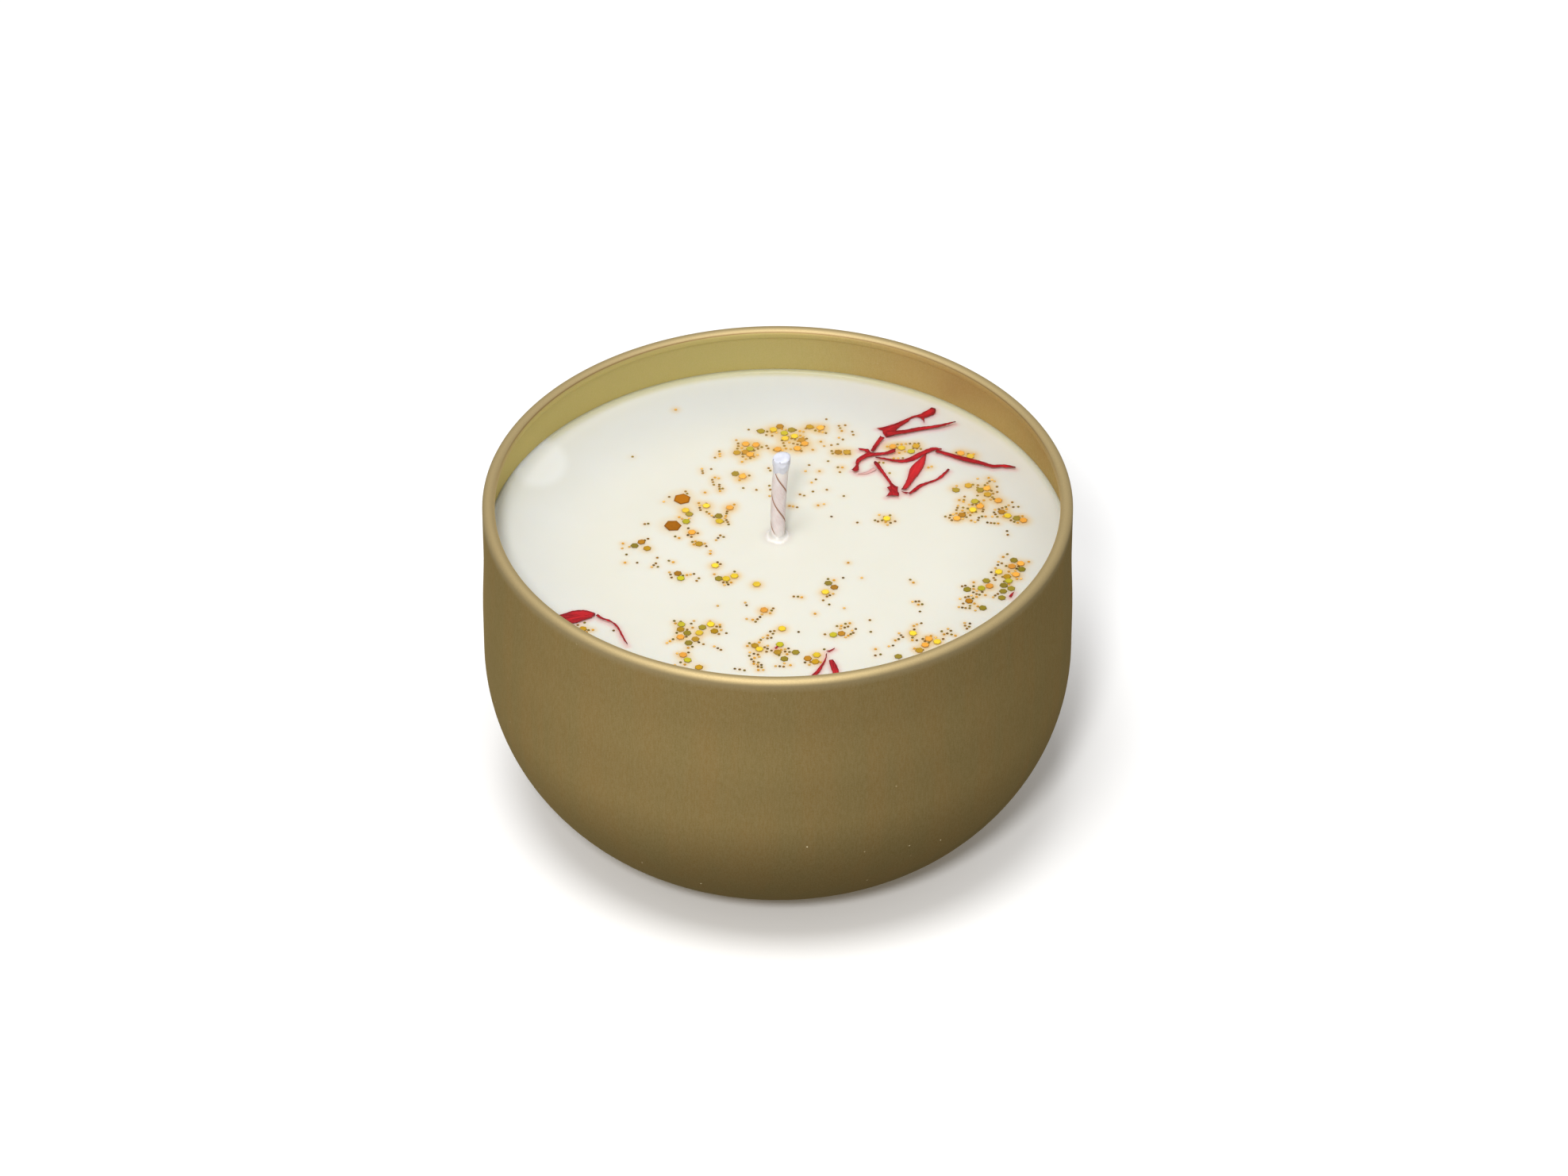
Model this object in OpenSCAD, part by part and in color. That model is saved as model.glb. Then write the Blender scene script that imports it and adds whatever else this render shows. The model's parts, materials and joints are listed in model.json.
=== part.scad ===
// Candle in a seamless drawn tin: tin cup, poured wax, wick assembly, hexagon
// glitter and dried petals pressed into the top. Millimetres, +Z up, origin at
// the centre of the tin's footprint.

/* [Tin] */
// Largest outside diameter of the body
tin_d = 80; // [79:0.5:84]
// Height from the table to the top of the rim
tin_h = 50; // [48:1:56]
// How much smaller in radius the neck is, where a slip lid fits over it
neck_step = 0.3; // [0.1:0.1:0.6]
// Height of the straight neck below the rim
neck_h = 9; // [7:1:13]
// Thickness of the tinplate
wall = 0.3; // [0.2:0.05:0.4]
// Radius of the inward curl at the rim
curl_r = 0.85; // [0.7:0.05:1.1]
// Radius of the upper arc of the bowl, seen from the side
upper_arc_r = 28; // [26:1:30]
// Radius of the lower arc of the bowl, down to the table
lower_arc_r = 22; // [18:1:24]
// Angle below the horizontal at which the two arcs meet
arc_split = 40; // [35:1:45]
// Radius of the raised panel in the base
panel_r = 12; // [11:0.5:14]
// How far the base panel is raised above the table
panel_lift = 0.8; // [0.5:0.1:1.2]

/* [Wax] */
// Height of the wax surface above the table
wax_top = 42; // [38:1:43]
// Radius of the small fillet where the wax climbs the tin's wall
wall_fillet = 0.8; // [0.4:0.1:1]
// Radius of the low collar of wax around the wick
collar_r = 1.9; // [1.6:0.1:2.6]
// Height of that collar
collar_h = 0.5; // [0.3:0.1:0.6]

/* [Wick] */
// How far the wick stands behind the tin's centre
wick_offset = 1.8; // [0:0.1:1.9]
// Radius of the wick inside the wax
wick_r = 0.95; // [0.8:0.05:0.95]
// Radius of the wick where it leaves the wax
wick_base_r = 1; // [1:0.05:1.1]
// Radius of the wick at its free end
wick_end_r = 1.08; // [1.06:0.02:1.2]
// Length of wick above the wax, with its cap
wick_out = 14; // [10:0.5:20]
// Lean of the free end to the right, in degrees
wick_lean = 2.4; // [0:0.2:4]
// Number of marker threads wound round the wick, evenly spaced
thread_count = 2; // [1:1:2]
// Radius of a marker thread
thread_r = 0.15; // [0.1:0.05:0.2]
// Rise of a marker thread in one turn
thread_pitch = 9.6; // [6:0.2:12]
// Thickness of the white wax coat on the free end of the wick
coat_t = 0.12; // [0.08:0.02:0.2]
// Length of wick that the coat covers
coat_h = 2.2; // [1.5:0.1:3]
// Height of the coat's domed end above the wick
dome_h = 0.6; // [0.4:0.1:0.8]

/* [Wick sustainer] */
// Radius of the sustainer's disc
disc_r = 9.5; // [8:0.5:10]
// Thickness of the disc
disc_t = 0.3; // [0.2:0.1:0.4]
// Height of the crimped neck above the table side of the disc
sustainer_h = 6; // [4:0.5:8]
// Wall thickness of the crimped neck
sustainer_wall = 0.4; // [0.3:0.1:0.5]
// Thickness of the foam sticker under the disc
sticker_t = 1; // [0.5:0.1:1.2]

/* [Glitter] */
// Thickness of a flake
flake_t = 0.1; // [0.05:0.05:0.15]
// Size of a large flake, corner to corner
large_flake = 2.4; // [2:0.1:2.6]
// Size of a medium flake, corner to corner
medium_flake = 1.15; // [0.9:0.05:1.2]
// Size of a fine flake, corner to corner
fine_flake = 0.4; // [0.3:0.02:0.4]
// Smallest distance between the centres of two fine flakes
fine_gap = 0.42; // [0.42:0.02:0.6]

/* [Petals] */
// Thickness of a dried petal
petal_t = 0.25; // [0.15:0.05:0.3]

/* [Hidden] */
$fn = 96;
body_r = tin_d / 2;
neck_r = body_r - neck_step;
neck_low = tin_h - neck_h;
shoulder_low = neck_low - 9;
curl_z = tin_h - curl_r;
curl_gap = 80;
panel_top = panel_lift + wall;

// Centres of the two arcs: the lower one stands on the table plane, and the
// upper one is placed so that both have the same tangent where they meet.
upper_x = body_r - upper_arc_r;
arc_step = upper_arc_r - lower_arc_r;
lower_x = upper_x + arc_step * cos(arc_split);
lower_z = lower_arc_r;
upper_z = lower_z + arc_step * sin(arc_split);
reach = 100;

wick_at = [0, wick_offset, 0];
wick_foot = panel_top + sticker_t;
lean_z = wax_top - 0.5;
core_len = wax_top + wick_out - dome_h - lean_z;
thread_from = 1.4;
thread_to = core_len - coat_h - thread_r;
thread_phase = 119;
thread_sides = 8;
thread_steps = 36;

// Glitter lies in thin layers so that no two flakes share space.
fine_z = wax_top;
dark_z = wax_top + flake_t;
bright_z = wax_top + 2 * flake_t;

// Large flakes, [x, y] on the wax
large_spots = [[-13, 10], [-14.2, 4]];

// Medium flakes by colour, [x, y] on the wax
gold_spots = [
    [-3, -22.1], [5, -25.5], [-10.6, 0], [-12.9, -18.6], [-8.4, -19], [-25.9, -18.5],
    [4.4, 26.4], [28.6, 11], [9.5, 20.6], [-17.6, -1], [-10.9, -20.7], [30.8, -7.2],
    [-5.6, 20.5], [19, 22], [0, -23.5], [18.8, -23.1], [26, 13], [-10.4, -26.7]
];
olive_spots = [
    [2.4, -23.5], [0.9, -24.9], [16, -24.4], [-12, 6.6], [-8, 6.2], [-7.9, -7.6],
    [-12, -19.4], [-10, -18.2], [6.8, -8.6], [28, -8.1], [30.3, -9.1], [31.3, -9.8],
    [30.2, -10.4], [30, -11.8], [27.4, -14], [31.8, -3.6], [25.4, -10], [32.8, -5.6],
    [24.3, 12], [27.6, 12], [32.4, 5.7], [-2.3, 25.4], [1.9, 25.7], [-5.8, 15.7],
    [-11.8, -21.5], [-19.3, -0.4]
];
brown_spots = [
    [4, -24.8], [8.5, -19.5], [-18.4, 0.4], [-13.4, -6.5], [7.6, -9.5], [25.6, -12.5],
    [25, 6.4], [3.3, 23.4], [-4.4, 20.6], [30.4, 7.1], [0.3, 26.5], [8.3, 20.6]
];
yellow_spots = [
    [0.6, -18.5], [-2.4, -22.9], [5.2, -24.1], [-12.5, 7.4], [-7.9, 5], [-8.4, -4.8],
    [-6.9, -7.7], [-5.8, -7.1], [-2.8, -8.9], [-8.9, -17.6], [-10.4, -19.4], [6.4, -10.6],
    [29.7, -6.2], [18, -19.5], [-9.7, 8.4], [31.2, 6.2], [26.5, 7.5], [17, 21.5],
    [26.4, 19.6], [-0.6, 25.7], [2.3, 24.2], [21.2, -21.3], [14.8, 5.6], [1, 23.7]
];
orange_spots = [
    [-1.8, -14.5], [-11.6, 2.5], [-12.5, -24.1], [31.5, -5], [32, -6.8], [28.4, -9.3],
    [19.6, -22], [30, 9.6], [24.3, 5.6], [33.3, 5.2], [25.1, 20.3], [-4.4, 22.4], [-3, 22.2],
    [3.7, 22.5], [2.7, 21.4], [-6.5, 8], [-12.9, -20.3], [32.7, -4.4], [0, 21.2],
    [-4.8, 15], [5.9, 26.1], [27.5, 8.3], [28.5, 12.3], [-3.8, 20], [15.8, 21.8], [20.1, -20.7]
];
lime_spots = [
    [0.3, -21.9], [7.4, -19.8], [-12.4, 4.9], [-13, -7.6], [-12.8, -17.6],
    [-11.9, -25.2], [31, -8.2], [27.3, -9.8], [18.3, 20.7], [26.8, 9.4],
    [0.9, 24.9], [-3.8, 21.3]
];

// Fine flakes that lie alone, [x, y] on the wax
fine_singles = [
    [-9.7, 9], [-7.4, 5], [-5.9, 8.8], [-12, 5.7], [-12.1, 3.5], [-10.8, 2.4], [-7.3, 1.6],
    [-11.1, 0.6], [-20, -0.6], [-18.9, -4.1], [-16.2, -3], [-16.1, -5], [-8.5, -6.6], [-8, -13.5],
    [-9.1, 16.8], [-8.6, 19.4], [-7.5, 12.4], [-9.9, 11.5], [-5.7, 23.4], [-4, 25.8], [-2.9, 12.1],
    [-4.7, 12.5], [-5.2, 14.3], [-1.1, 10.7], [6.7, 28.2], [9.3, 26.8], [6.9, 18.6], [5.7, 16.3],
    [3.8, 16.3], [4.3, 17.7], [8.5, 16.1], [15.3, 15.9], [4.8, 21.2], [27.3, 14.6], [29.9, 12.8],
    [29.9, 11.6], [27.2, 10.8], [24.7, 9.8], [25.1, 5.6], [23.6, 5.3], [31.9, 9.3], [32.7, 8.3],
    [33.2, 6.2], [29.6, 14], [4.8, 11.7], [6.7, 12.1], [9, 10.7], [5.5, 8.6], [6.3, 8.9], [7.3, 6.1],
    [10.8, 4.8], [13.2, 5.3], [9.5, -4.1], [11.3, -7.4], [8.8, -7.4], [6.1, -12.3], [6.9, -13.2],
    [5, -15.2], [8.9, -14], [2.8, -19.1], [6.3, -19.6], [6.2, -22.8], [5.7, -25.6], [4.2, -26.1],
    [-0.8, -23.1], [-1.7, -22.4], [0.2, -24.1], [1.7, -26.2], [0.9, -25.8], [-21.8, -18.8],
    [-26.6, -17.6], [-25.7, -17.1], [-25.4, -19.1], [-9, -16.8], [-6.8, -19.4], [-7.8, -19.6],
    [-13.4, -19.3], [-11.3, -18.2], [-13.3, -23.7], [-11.8, -23.5], [-10, -26.6], [-12.9, -16.9],
    [33.8, -3.9], [29.3, -5.3], [28.7, -6.2], [29.2, -7.9], [30.4, -8.2], [26.3, -8.4], [24.4, -12],
    [27.4, -10.5], [24.8, -13], [25.7, -13.5], [26.3, -13], [26.4, -14.5], [19, -14.7],
    [12.3, -16.6], [12.4, -19.1], [13, -22.8], [17.7, -19], [18.5, -20.9], [25.2, -18.4],
    [-19.9, 19.6], [-14.1, 30.4]
];

// Fine flakes that lie in rows: [x, y] of the first and last flake, and how many
fine_rows = [
    // Left of the wick
    [-15.5, 9.4, -14.8, 10.5, 2], [-12.6, 11.7, -12.3, 11.2, 2], [-10.7, 9.1, -10.5, 7.6, 4],
    [-9.6, 7.1, -8.6, 6, 4], [-6.9, 7.3, -7.1, 5.8, 4], [-6.9, 5.3, -6.6, 4.4, 3],
    [-13.4, 6, -12.9, 5.6, 2], [-12.1, 2, -11.7, 1.6, 2], [-13.8, 1.7, -13.3, 1.3, 2],
    [-8.3, 0.9, -7.7, 1.9, 3], [-11.5, 0.5, -11.3, -0.1, 2], [-9.8, 0.1, -9.6, -0.5, 2],
    [-18, 4.4, -17.5, 4.5, 2], [-20.9, 0.1, -21, -0.9, 2], [-18, 0.8, -17.5, 1.2, 2],
    [-20.4, -2.3, -20.5, -4.1, 2], [-16.9, -5, -16.4, -4.2, 3], [-14.6, -3.7, -14.1, -4, 2],
    [-14.5, -6.2, -14.2, -7.3, 3], [-12.7, -6.9, -11.2, -6.5, 4], [-10.9, -8.1, -10.6, -7.5, 2],
    [-9.1, -2.1, -9, -1.5, 2], [-8.1, -4, -7.7, -4.4, 2], [-5.8, -6, -5.5, -6.8, 2],
    [-7.1, -8.9, -6.6, -8.9, 2], [-7.3, -8.4, -6.2, -8.4, 3],
    // Behind the wick, to the left
    [-10.4, 16.9, -10.2, 15.9, 3], [-8, 20.8, -7.9, 19.7, 3], [-8.9, 14.4, -8.7, 13.3, 3],
    [-8.6, 14.9, -8.1, 14.7, 2], [-8, 13.3, -7.9, 11.8, 4], [-4.6, 15.7, -3.9, 15.3, 2],
    [-1.2, 17, -1, 16.4, 2], [-4.9, 18.4, -4.4, 19.1, 2], [-1.5, 22.1, -1.3, 21.5, 2],
    [-1, 21.2, 0.6, 21.1, 4], [-5.4, 22.6, -5.5, 21.4, 3], [-4.9, 21.6, -4.8, 19.6, 4],
    [-3.8, 19.2, -2.8, 20, 3], [-3.2, 21, -2.2, 21.8, 3], [-4, 20.6, -3.4, 20.5, 2],
    // Behind the wick
    [-2.8, 25.6, -0.2, 25.1, 5], [-1.6, 24.6, -0.8, 24.4, 2], [0.1, 26.2, 1.1, 25.8, 3],
    [0.6, 23.4, 1.1, 21.5, 4], [1.8, 21.3, 3.2, 20.9, 3], [2.5, 25.7, 3.5, 25.3, 3],
    [1.4, 24.1, 2.8, 23.2, 4], [1.6, 22.9, 3.2, 22.2, 4], [3.1, 24.4, 4, 23.8, 3],
    [3.9, 26.1, 6.4, 26.5, 6], [5.2, 25.6, 6.6, 25, 4], [8.4, 26.7, 8.8, 25.5, 3],
    [8.4, 23.9, 9, 23.5, 2], [7.4, 22.3, 8.2, 22.5, 2], [5.9, 23, 6.4, 22, 2],
    [10.3, 25.3, 10.4, 24.6, 2], [7.4, 20.9, 9.8, 21, 5], [7.5, 20.3, 9.9, 20.2, 5],
    [8.2, 17.2, 8.8, 17.2, 2], [4.6, 13.7, 5.2, 14.4, 2], [3, 11.1, 3.6, 10.8, 2],
    [1.6, 8.5, 2.6, 8.2, 3], [-1, 12.2, -1.1, 13, 2],
    // Among the petals
    [15, 21.9, 16.4, 21.6, 4], [16.4, 22.4, 19.4, 22.6, 6], [16.7, 20.5, 17.5, 20.8, 2],
    [18.6, 21.5, 19.6, 21.4, 3], [15.9, 19.2, 17.2, 19.3, 3], [13.9, 18.3, 14.5, 18.2, 2],
    [20.6, 17.2, 21.1, 17.4, 2], [24.5, 20.6, 26.9, 20.2, 4], [10.4, 25.1, 10.6, 24.4, 2],
    // Right of the wick
    [13.8, 6.5, 14.5, 6.1, 3], [13.6, 5, 14.2, 5.3, 2], [14.6, 4.9, 14.9, 4.3, 2],
    [15.3, 4.8, 15.9, 5.1, 2], [14.6, 6.3, 15.3, 6.4, 2],
    // Right, far group
    [23.9, 12.4, 24.4, 13, 2], [25.8, 12.9, 27, 13.5, 4], [28.8, 14.8, 29.3, 14.3, 2],
    [28.9, 14, 28.3, 13.2, 3], [28.8, 12.9, 28.4, 12, 3], [27.3, 13.1, 27.2, 12.6, 2],
    [27.4, 11.6, 28.2, 11.3, 3], [28.2, 10.8, 29.2, 10.4, 3], [28, 9.7, 29.4, 10, 4],
    [25.4, 10.6, 25.3, 9.4, 4], [24.5, 8.5, 24.3, 7.6, 3], [25.2, 8.1, 25.1, 7.4, 2],
    [26, 8.8, 27, 8.7, 3], [27.3, 9.4, 27.9, 8.6, 3], [27.9, 7.7, 27.7, 6.9, 3],
    [26.9, 7.1, 25.4, 6.9, 4], [26.1, 6.4, 25.6, 6, 2], [24.3, 6.8, 23.4, 6.4, 3],
    [23.3, 5.8, 22.8, 6.1, 2], [26.2, 5.2, 26.8, 4.9, 2], [27.3, 5.9, 27.2, 5.3, 2],
    [27.7, 6.1, 29.1, 6.1, 4], [28.4, 4.8, 29.9, 4.6, 4], [29.5, 7.6, 31, 8.3, 4],
    [31.1, 7.8, 31, 7.2, 2], [29.4, 7, 29.8, 6.1, 3], [29.8, 5.7, 30.6, 6.2, 3],
    [31.4, 8.6, 32, 8.2, 2], [31.6, 5.3, 32.5, 4.7, 3], [32.7, 6.2, 33.3, 5.9, 2],
    [31, 2.9, 31.1, 2.1, 2], [25.8, 7.9, 27.2, 8, 3], [29.1, 11.9, 29.3, 11.2, 2],
    // Right, near group
    [31, -2.2, 30.4, -2.8, 3], [29.7, -3.9, 29.6, -4.6, 2], [30.2, -4.2, 30.7, -4.8, 2],
    [31.1, -6.1, 31.5, -6.4, 2], [29.3, -6.8, 29, -7.4, 2], [29.6, -7.1, 30.2, -7.2, 2],
    [32.1, -7.6, 32.7, -7.6, 2], [25.2, -9.1, 24.3, -9.4, 3], [26.3, -9.3, 26.3, -9.9, 2],
    [26.7, -10.3, 26.2, -10.6, 2], [26.6, -11, 27.8, -11.2, 4], [25.9, -11.3, 25.1, -11.7, 3],
    [26.1, -11.9, 26.6, -11.6, 2], [24.2, -13.8, 25.6, -14, 4], [26.7, -13.6, 26.5, -14.1, 2],
    [28.8, -11.6, 29.5, -10.9, 3], [30.7, -9.3, 31, -8.9, 2], [31.9, -5.9, 32.4, -4.9, 3],
    // Right, at the front
    [17.8, -7.8, 18.2, -8.4, 2], [18, -12.6, 19.3, -12.5, 4], [19.3, -13.1, 18.8, -13.2, 2],
    [16.2, -19.4, 16.6, -20.2, 3], [16.1, -20.7, 15.6, -20.9, 2], [14.8, -22.2, 15.3, -22, 2],
    [13, -24.1, 13.7, -23.9, 3], [18.1, -17.8, 19.1, -17.2, 3], [17.6, -18.6, 18.2, -18.6, 2],
    [17.9, -20.3, 17.9, -20.9, 2], [19.8, -20.1, 19.3, -20.6, 2], [19.6, -21.1, 20.1, -21.4, 2],
    [20.4, -19.9, 21, -20.3, 2], [21.3, -20.8, 22, -20.6, 3], [21.8, -19, 22.1, -19.6, 2],
    [22.7, -18.4, 23.1, -18.9, 2], [22.6, -19.4, 23.6, -19.9, 3], [24.9, -17.2, 25.6, -17.3, 2],
    [25, -17.8, 25.5, -18, 2], [18.2, -22.7, 19.2, -23, 3],
    // Front
    [2.2, -11.5, 3.2, -11.6, 3], [7.4, -10.9, 6.6, -11.5, 3], [6.8, -7.7, 7.6, -7.9, 2],
    [-4.3, -12.8, -4.1, -13.4, 2], [-0.6, -14, -1, -15.1, 3], [-2.1, -15.4, -2.9, -16.9, 4],
    [-3.3, -16.5, -4.1, -16.3, 2], [-1, -19, -0.4, -18.9, 2], [-0.6, -19.5, -1.9, -20.3, 3],
    [-0.8, -20.4, -1.3, -20.5, 2], [-2.2, -20.8, -2.4, -21.4, 2], [-1.3, -22.1, -1.4, -23.3, 3],
    [-3.7, -21.5, -4, -22.1, 2], [-3.7, -23.5, -2.6, -24, 3], [-3.7, -24.2, -3, -24.7, 2],
    [-2.4, -24.4, -3.5, -25, 2], [-3.2, -25.4, -2.5, -25.6, 2], [-3.1, -25.9, -2.1, -26.2, 3],
    [-2.6, -26.5, -2.1, -26.7, 2], [-2.5, -27.2, -1.9, -27.2, 2], [-5.6, -27, -4.4, -27.3, 3],
    [0.5, -22.9, 1.5, -22.6, 3], [1, -23.3, 1.6, -23.4, 2], [0.5, -24, 1.3, -23.9, 2],
    [-0.2, -26.4, 0.8, -26.5, 3], [7.9, -17.9, 8.5, -17.8, 2], [8.4, -18.4, 9.4, -18, 3],
    [9, -17.4, 9.6, -17.3, 2], [9.9, -18.8, 10.4, -18.5, 2], [10.1, -19.3, 9, -20.2, 4],
    [3.6, -25.6, 4.4, -25.5, 2],
    // Front, to the left
    [-13.8, -16.7, -13.6, -17.3, 2], [-11.1, -16.8, -11.5, -17.3, 2], [-8.1, -18, -7.2, -18.1, 3],
    [-7.7, -17.6, -7.5, -18.7, 3], [-12.1, -20.1, -12.6, -20.4, 2], [-13.9, -20.7, -14.7, -21.5, 3],
    [-10.4, -21.3, -9.8, -21.7, 2], [-11.3, -22.3, -11.8, -22.5, 2], [-8.4, -22.2, -7.5, -23, 3],
    [-12.8, -25.6, -12.3, -26.1, 2], [-13.6, -26.2, -12.8, -26.7, 2], [-11.6, -17.9, -12, -18.6, 2],
    [-25.1, -18.7, -24.6, -18.6, 2]
];

// Number of colours that the fine flakes are dealt out to in turn
fine_colours = 5;
// How far a fine flake may lie off its row's line, each way
row_shake = 0.05;

// ---- Tin ----

// Half section of the tin, filled to the axis and shrunk by inset, up to z = top
module bowl_section(inset, top) {
    lower_c = [lower_x, lower_z];
    upper_c = [upper_x, upper_z];
    split_dir = [cos(arc_split), -sin(arc_split)];
    polygon([
        [0, inset], [lower_x, inset], lower_c, upper_c,
        [body_r - inset, upper_z], [body_r - inset, shoulder_low],
        [neck_r - inset, neck_low], [neck_r - inset, top], [0, top]
    ]);
    intersection() {
        translate(upper_c) circle(r = upper_arc_r - inset);
        polygon([upper_c, upper_c + [reach, 0], upper_c + reach * split_dir]);
    }
    intersection() {
        translate(lower_c) circle(r = lower_arc_r - inset);
        polygon([lower_c, lower_c + reach * split_dir, lower_c + [0, -reach]]);
    }
}

// Space inside the tin, up to z = top: the bowl less the raised base panel
module inside_section(top) {
    difference() {
        bowl_section(wall, top);
        translate([-1, 0]) square([panel_r + wall + 1, panel_top]);
    }
}

// The rim's open curl: a ring of sheet that stops short of the neck's inside
module curl_section() {
    centre = [neck_r - curl_r, curl_z];
    difference() {
        translate(centre) circle(r = curl_r);
        translate(centre) circle(r = curl_r - wall);
        polygon([centre, centre + [3, 0], centre + [3, -9], centre + 9 * [cos(curl_gap), -sin(curl_gap)]]);
    }
}

module tin_cup() {
    color([0.56, 0.49, 0.31])
    rotate_extrude() {
        difference() {
            bowl_section(0, curl_z);
            translate([-1, -1]) square([panel_r + 1, panel_lift + 1]);
            inside_section(curl_z + 1);
        }
        curl_section();
    }
}

// ---- Wick assembly ----

module wick_sticker() {
    color([0.9, 0.9, 0.88])
    translate(wick_at + [0, 0, panel_top]) cylinder(r = disc_r, h = sticker_t);
}

// The sustainer as a solid of revolution, filled to the axis
module sustainer_blank() {
    neck = wick_r + sustainer_wall;
    flare = 1.2;
    translate(wick_at + [0, 0, wick_foot])
    rotate_extrude() polygon([
        [0, 0], [disc_r, 0], [disc_r, disc_t], [neck + flare, disc_t],
        [neck, disc_t + flare], [neck, sustainer_h], [0, sustainer_h]
    ]);
}

module wick_sustainer() {
    color([0.75, 0.75, 0.77])
    difference() {
        sustainer_blank();
        translate(wick_at) cylinder(r = wick_r, h = tin_h);
    }
}

// Moves its children to the frame of the wick's leaning free length
module on_free_wick() {
    translate(wick_at + [0, 0, lean_z]) rotate([0, wick_lean, 0]) children();
}

module wick_core() {
    color([0.9, 0.84, 0.82]) {
        translate(wick_at + [0, 0, wick_foot]) cylinder(r = wick_r, h = wax_top - wick_foot);
        on_free_wick() cylinder(r1 = wick_base_r, r2 = wick_end_r, h = core_len);
    }
}

// White wax coat: a thimble over the wick's free end with a domed top
module wick_cap() {
    outer = wick_end_r + coat_t;
    ball_r = (outer * outer + dome_h * dome_h) / (2 * dome_h);
    color([0.96, 0.96, 0.97])
    difference() {
        on_free_wick() {
            translate([0, 0, core_len - coat_h]) cylinder(r = outer, h = coat_h);
            translate([0, 0, core_len])
            intersection() {
                translate([0, 0, dome_h - ball_r]) sphere(r = ball_r);
                cylinder(r = 2 * outer, h = 2 * dome_h);
            }
        }
        wick_core();
    }
}

// A point on a marker thread, start is its angle round the wick: a helix that
// widens with the wick
function thread_point(t, side, start) =
    let (
        z = thread_from + t * (thread_to - thread_from),
        r = wick_base_r + (wick_end_r - wick_base_r) * z / core_len + thread_r,
        turn = start - 360 * z / thread_pitch,
        ring = r + thread_r * cos(side)
    )
    [ring * cos(turn), ring * sin(turn), z + thread_r * sin(side)];

module marker_thread(start) {
    rings = ceil((thread_to - thread_from) / thread_pitch * thread_steps);
    sides = thread_sides;
    points = [for (i = [0:rings], k = [0:sides - 1]) thread_point(i / rings, 360 * k / sides, start)];
    side_faces = [for (i = [0:rings - 1], k = [0:sides - 1], half = [0, 1])
        let (
            a = i * sides + k,
            b = i * sides + (k + 1) % sides
        )
        half == 0 ? [a, b, b + sides] : [a, b + sides, a + sides]];
    ends = [[for (k = [sides - 1:-1:0]) k], [for (k = [0:sides - 1]) rings * sides + k]];
    on_free_wick() polyhedron(points, concat(ends, side_faces), convexity = 8);
}

module wick_thread() {
    color([0.62, 0.42, 0.3])
    for (i = [0:thread_count - 1]) marker_thread(thread_phase + i * 360 / thread_count);
}

// ---- Wax ----

module wax_fill() {
    edge = neck_r - wall;
    color([0.96, 0.95, 0.88])
    difference() {
        union() {
            rotate_extrude() {
                inside_section(wax_top);
                difference() {
                    translate([edge - wall_fillet, wax_top - 0.2]) square([wall_fillet, wall_fillet + 0.2]);
                    translate([edge - wall_fillet, wax_top + wall_fillet]) circle(r = wall_fillet);
                }
            }
            translate(wick_at + [0, 0, wax_top - 0.2])
            cylinder(r1 = collar_r + 0.2, r2 = wick_base_r + 0.2, h = collar_h + 0.2);
        }
        wick_sticker();
        sustainer_blank();
        wick_core();
    }
}

// ---- Glitter ----

// One hexagonal flake lying flat, size is corner to corner
module flake(spot, z, size, turn) {
    translate([spot[0], spot[1], z]) rotate([0, 0, turn]) cylinder(d = size, h = flake_t, $fn = 6);
}

module medium_flakes(spots, z, seed) {
    turns = rands(-25, 25, len(spots), seed);
    for (i = [0:len(spots) - 1]) flake(spots[i], z, medium_flake, turns[i]);
}

// Spots along one row, each shaken a little off the line
function row_spots(row, seed) =
    let (
        shake = rands(-row_shake, row_shake, 2 * row[4], seed)
    )
    [for (i = [0:row[4] - 1]) let (t = i / (row[4] - 1))
        [row[0] + t * (row[2] - row[0]) + shake[2 * i], row[1] + t * (row[3] - row[1]) + shake[2 * i + 1]]];

// Keeps a spot only if it is at least gap away from every spot kept before it
function spaced(spots, gap, i = 0, kept = []) =
    i >= len(spots) ? kept :
    spaced(spots, gap, i + 1,
        len([for (k = kept) if (norm(k - spots[i]) < gap) 1]) > 0 ? kept : concat(kept, [spots[i]]));

fine_spots = spaced(concat(
    fine_singles,
    [for (i = [0:len(fine_rows) - 1]) each row_spots(fine_rows[i], i)]
), fine_gap);

// Every fine_colours-th spot, starting at which
module fine_flakes(which) {
    turns = rands(0, 60, len(fine_spots), 3);
    for (i = [which:fine_colours:len(fine_spots) - 1]) flake(fine_spots[i], fine_z, fine_flake, turns[i]);
}

module glitter_large_amber() {
    color([0.72, 0.4, 0.04])
    for (i = [0:len(large_spots) - 1]) flake(large_spots[i], dark_z, large_flake, 20 - 15 * i);
}

module glitter_medium_gold() {
    color([0.72, 0.56, 0.1]) medium_flakes(gold_spots, dark_z, 11);
}

module glitter_medium_olive() {
    color([0.5, 0.45, 0.08]) medium_flakes(olive_spots, dark_z, 12);
}

module glitter_medium_brown() {
    color([0.6, 0.38, 0.1]) medium_flakes(brown_spots, dark_z, 13);
}

module glitter_medium_yellow() {
    color([1, 0.8, 0.25]) medium_flakes(yellow_spots, bright_z, 14);
}

module glitter_medium_orange() {
    color([0.95, 0.6, 0.2]) medium_flakes(orange_spots, bright_z, 15);
}

module glitter_medium_lime() {
    color([0.72, 0.78, 0.15]) medium_flakes(lime_spots, bright_z, 16);
}

module glitter_fine_brown() {
    color([0.45, 0.32, 0.1]) fine_flakes(0);
}

module glitter_fine_olive() {
    color([0.45, 0.42, 0.15]) fine_flakes(1);
}

module glitter_fine_gold() {
    color([0.85, 0.62, 0.2]) fine_flakes(2);
}

module glitter_fine_peach() {
    color([0.95, 0.75, 0.5]) fine_flakes(3);
}

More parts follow.
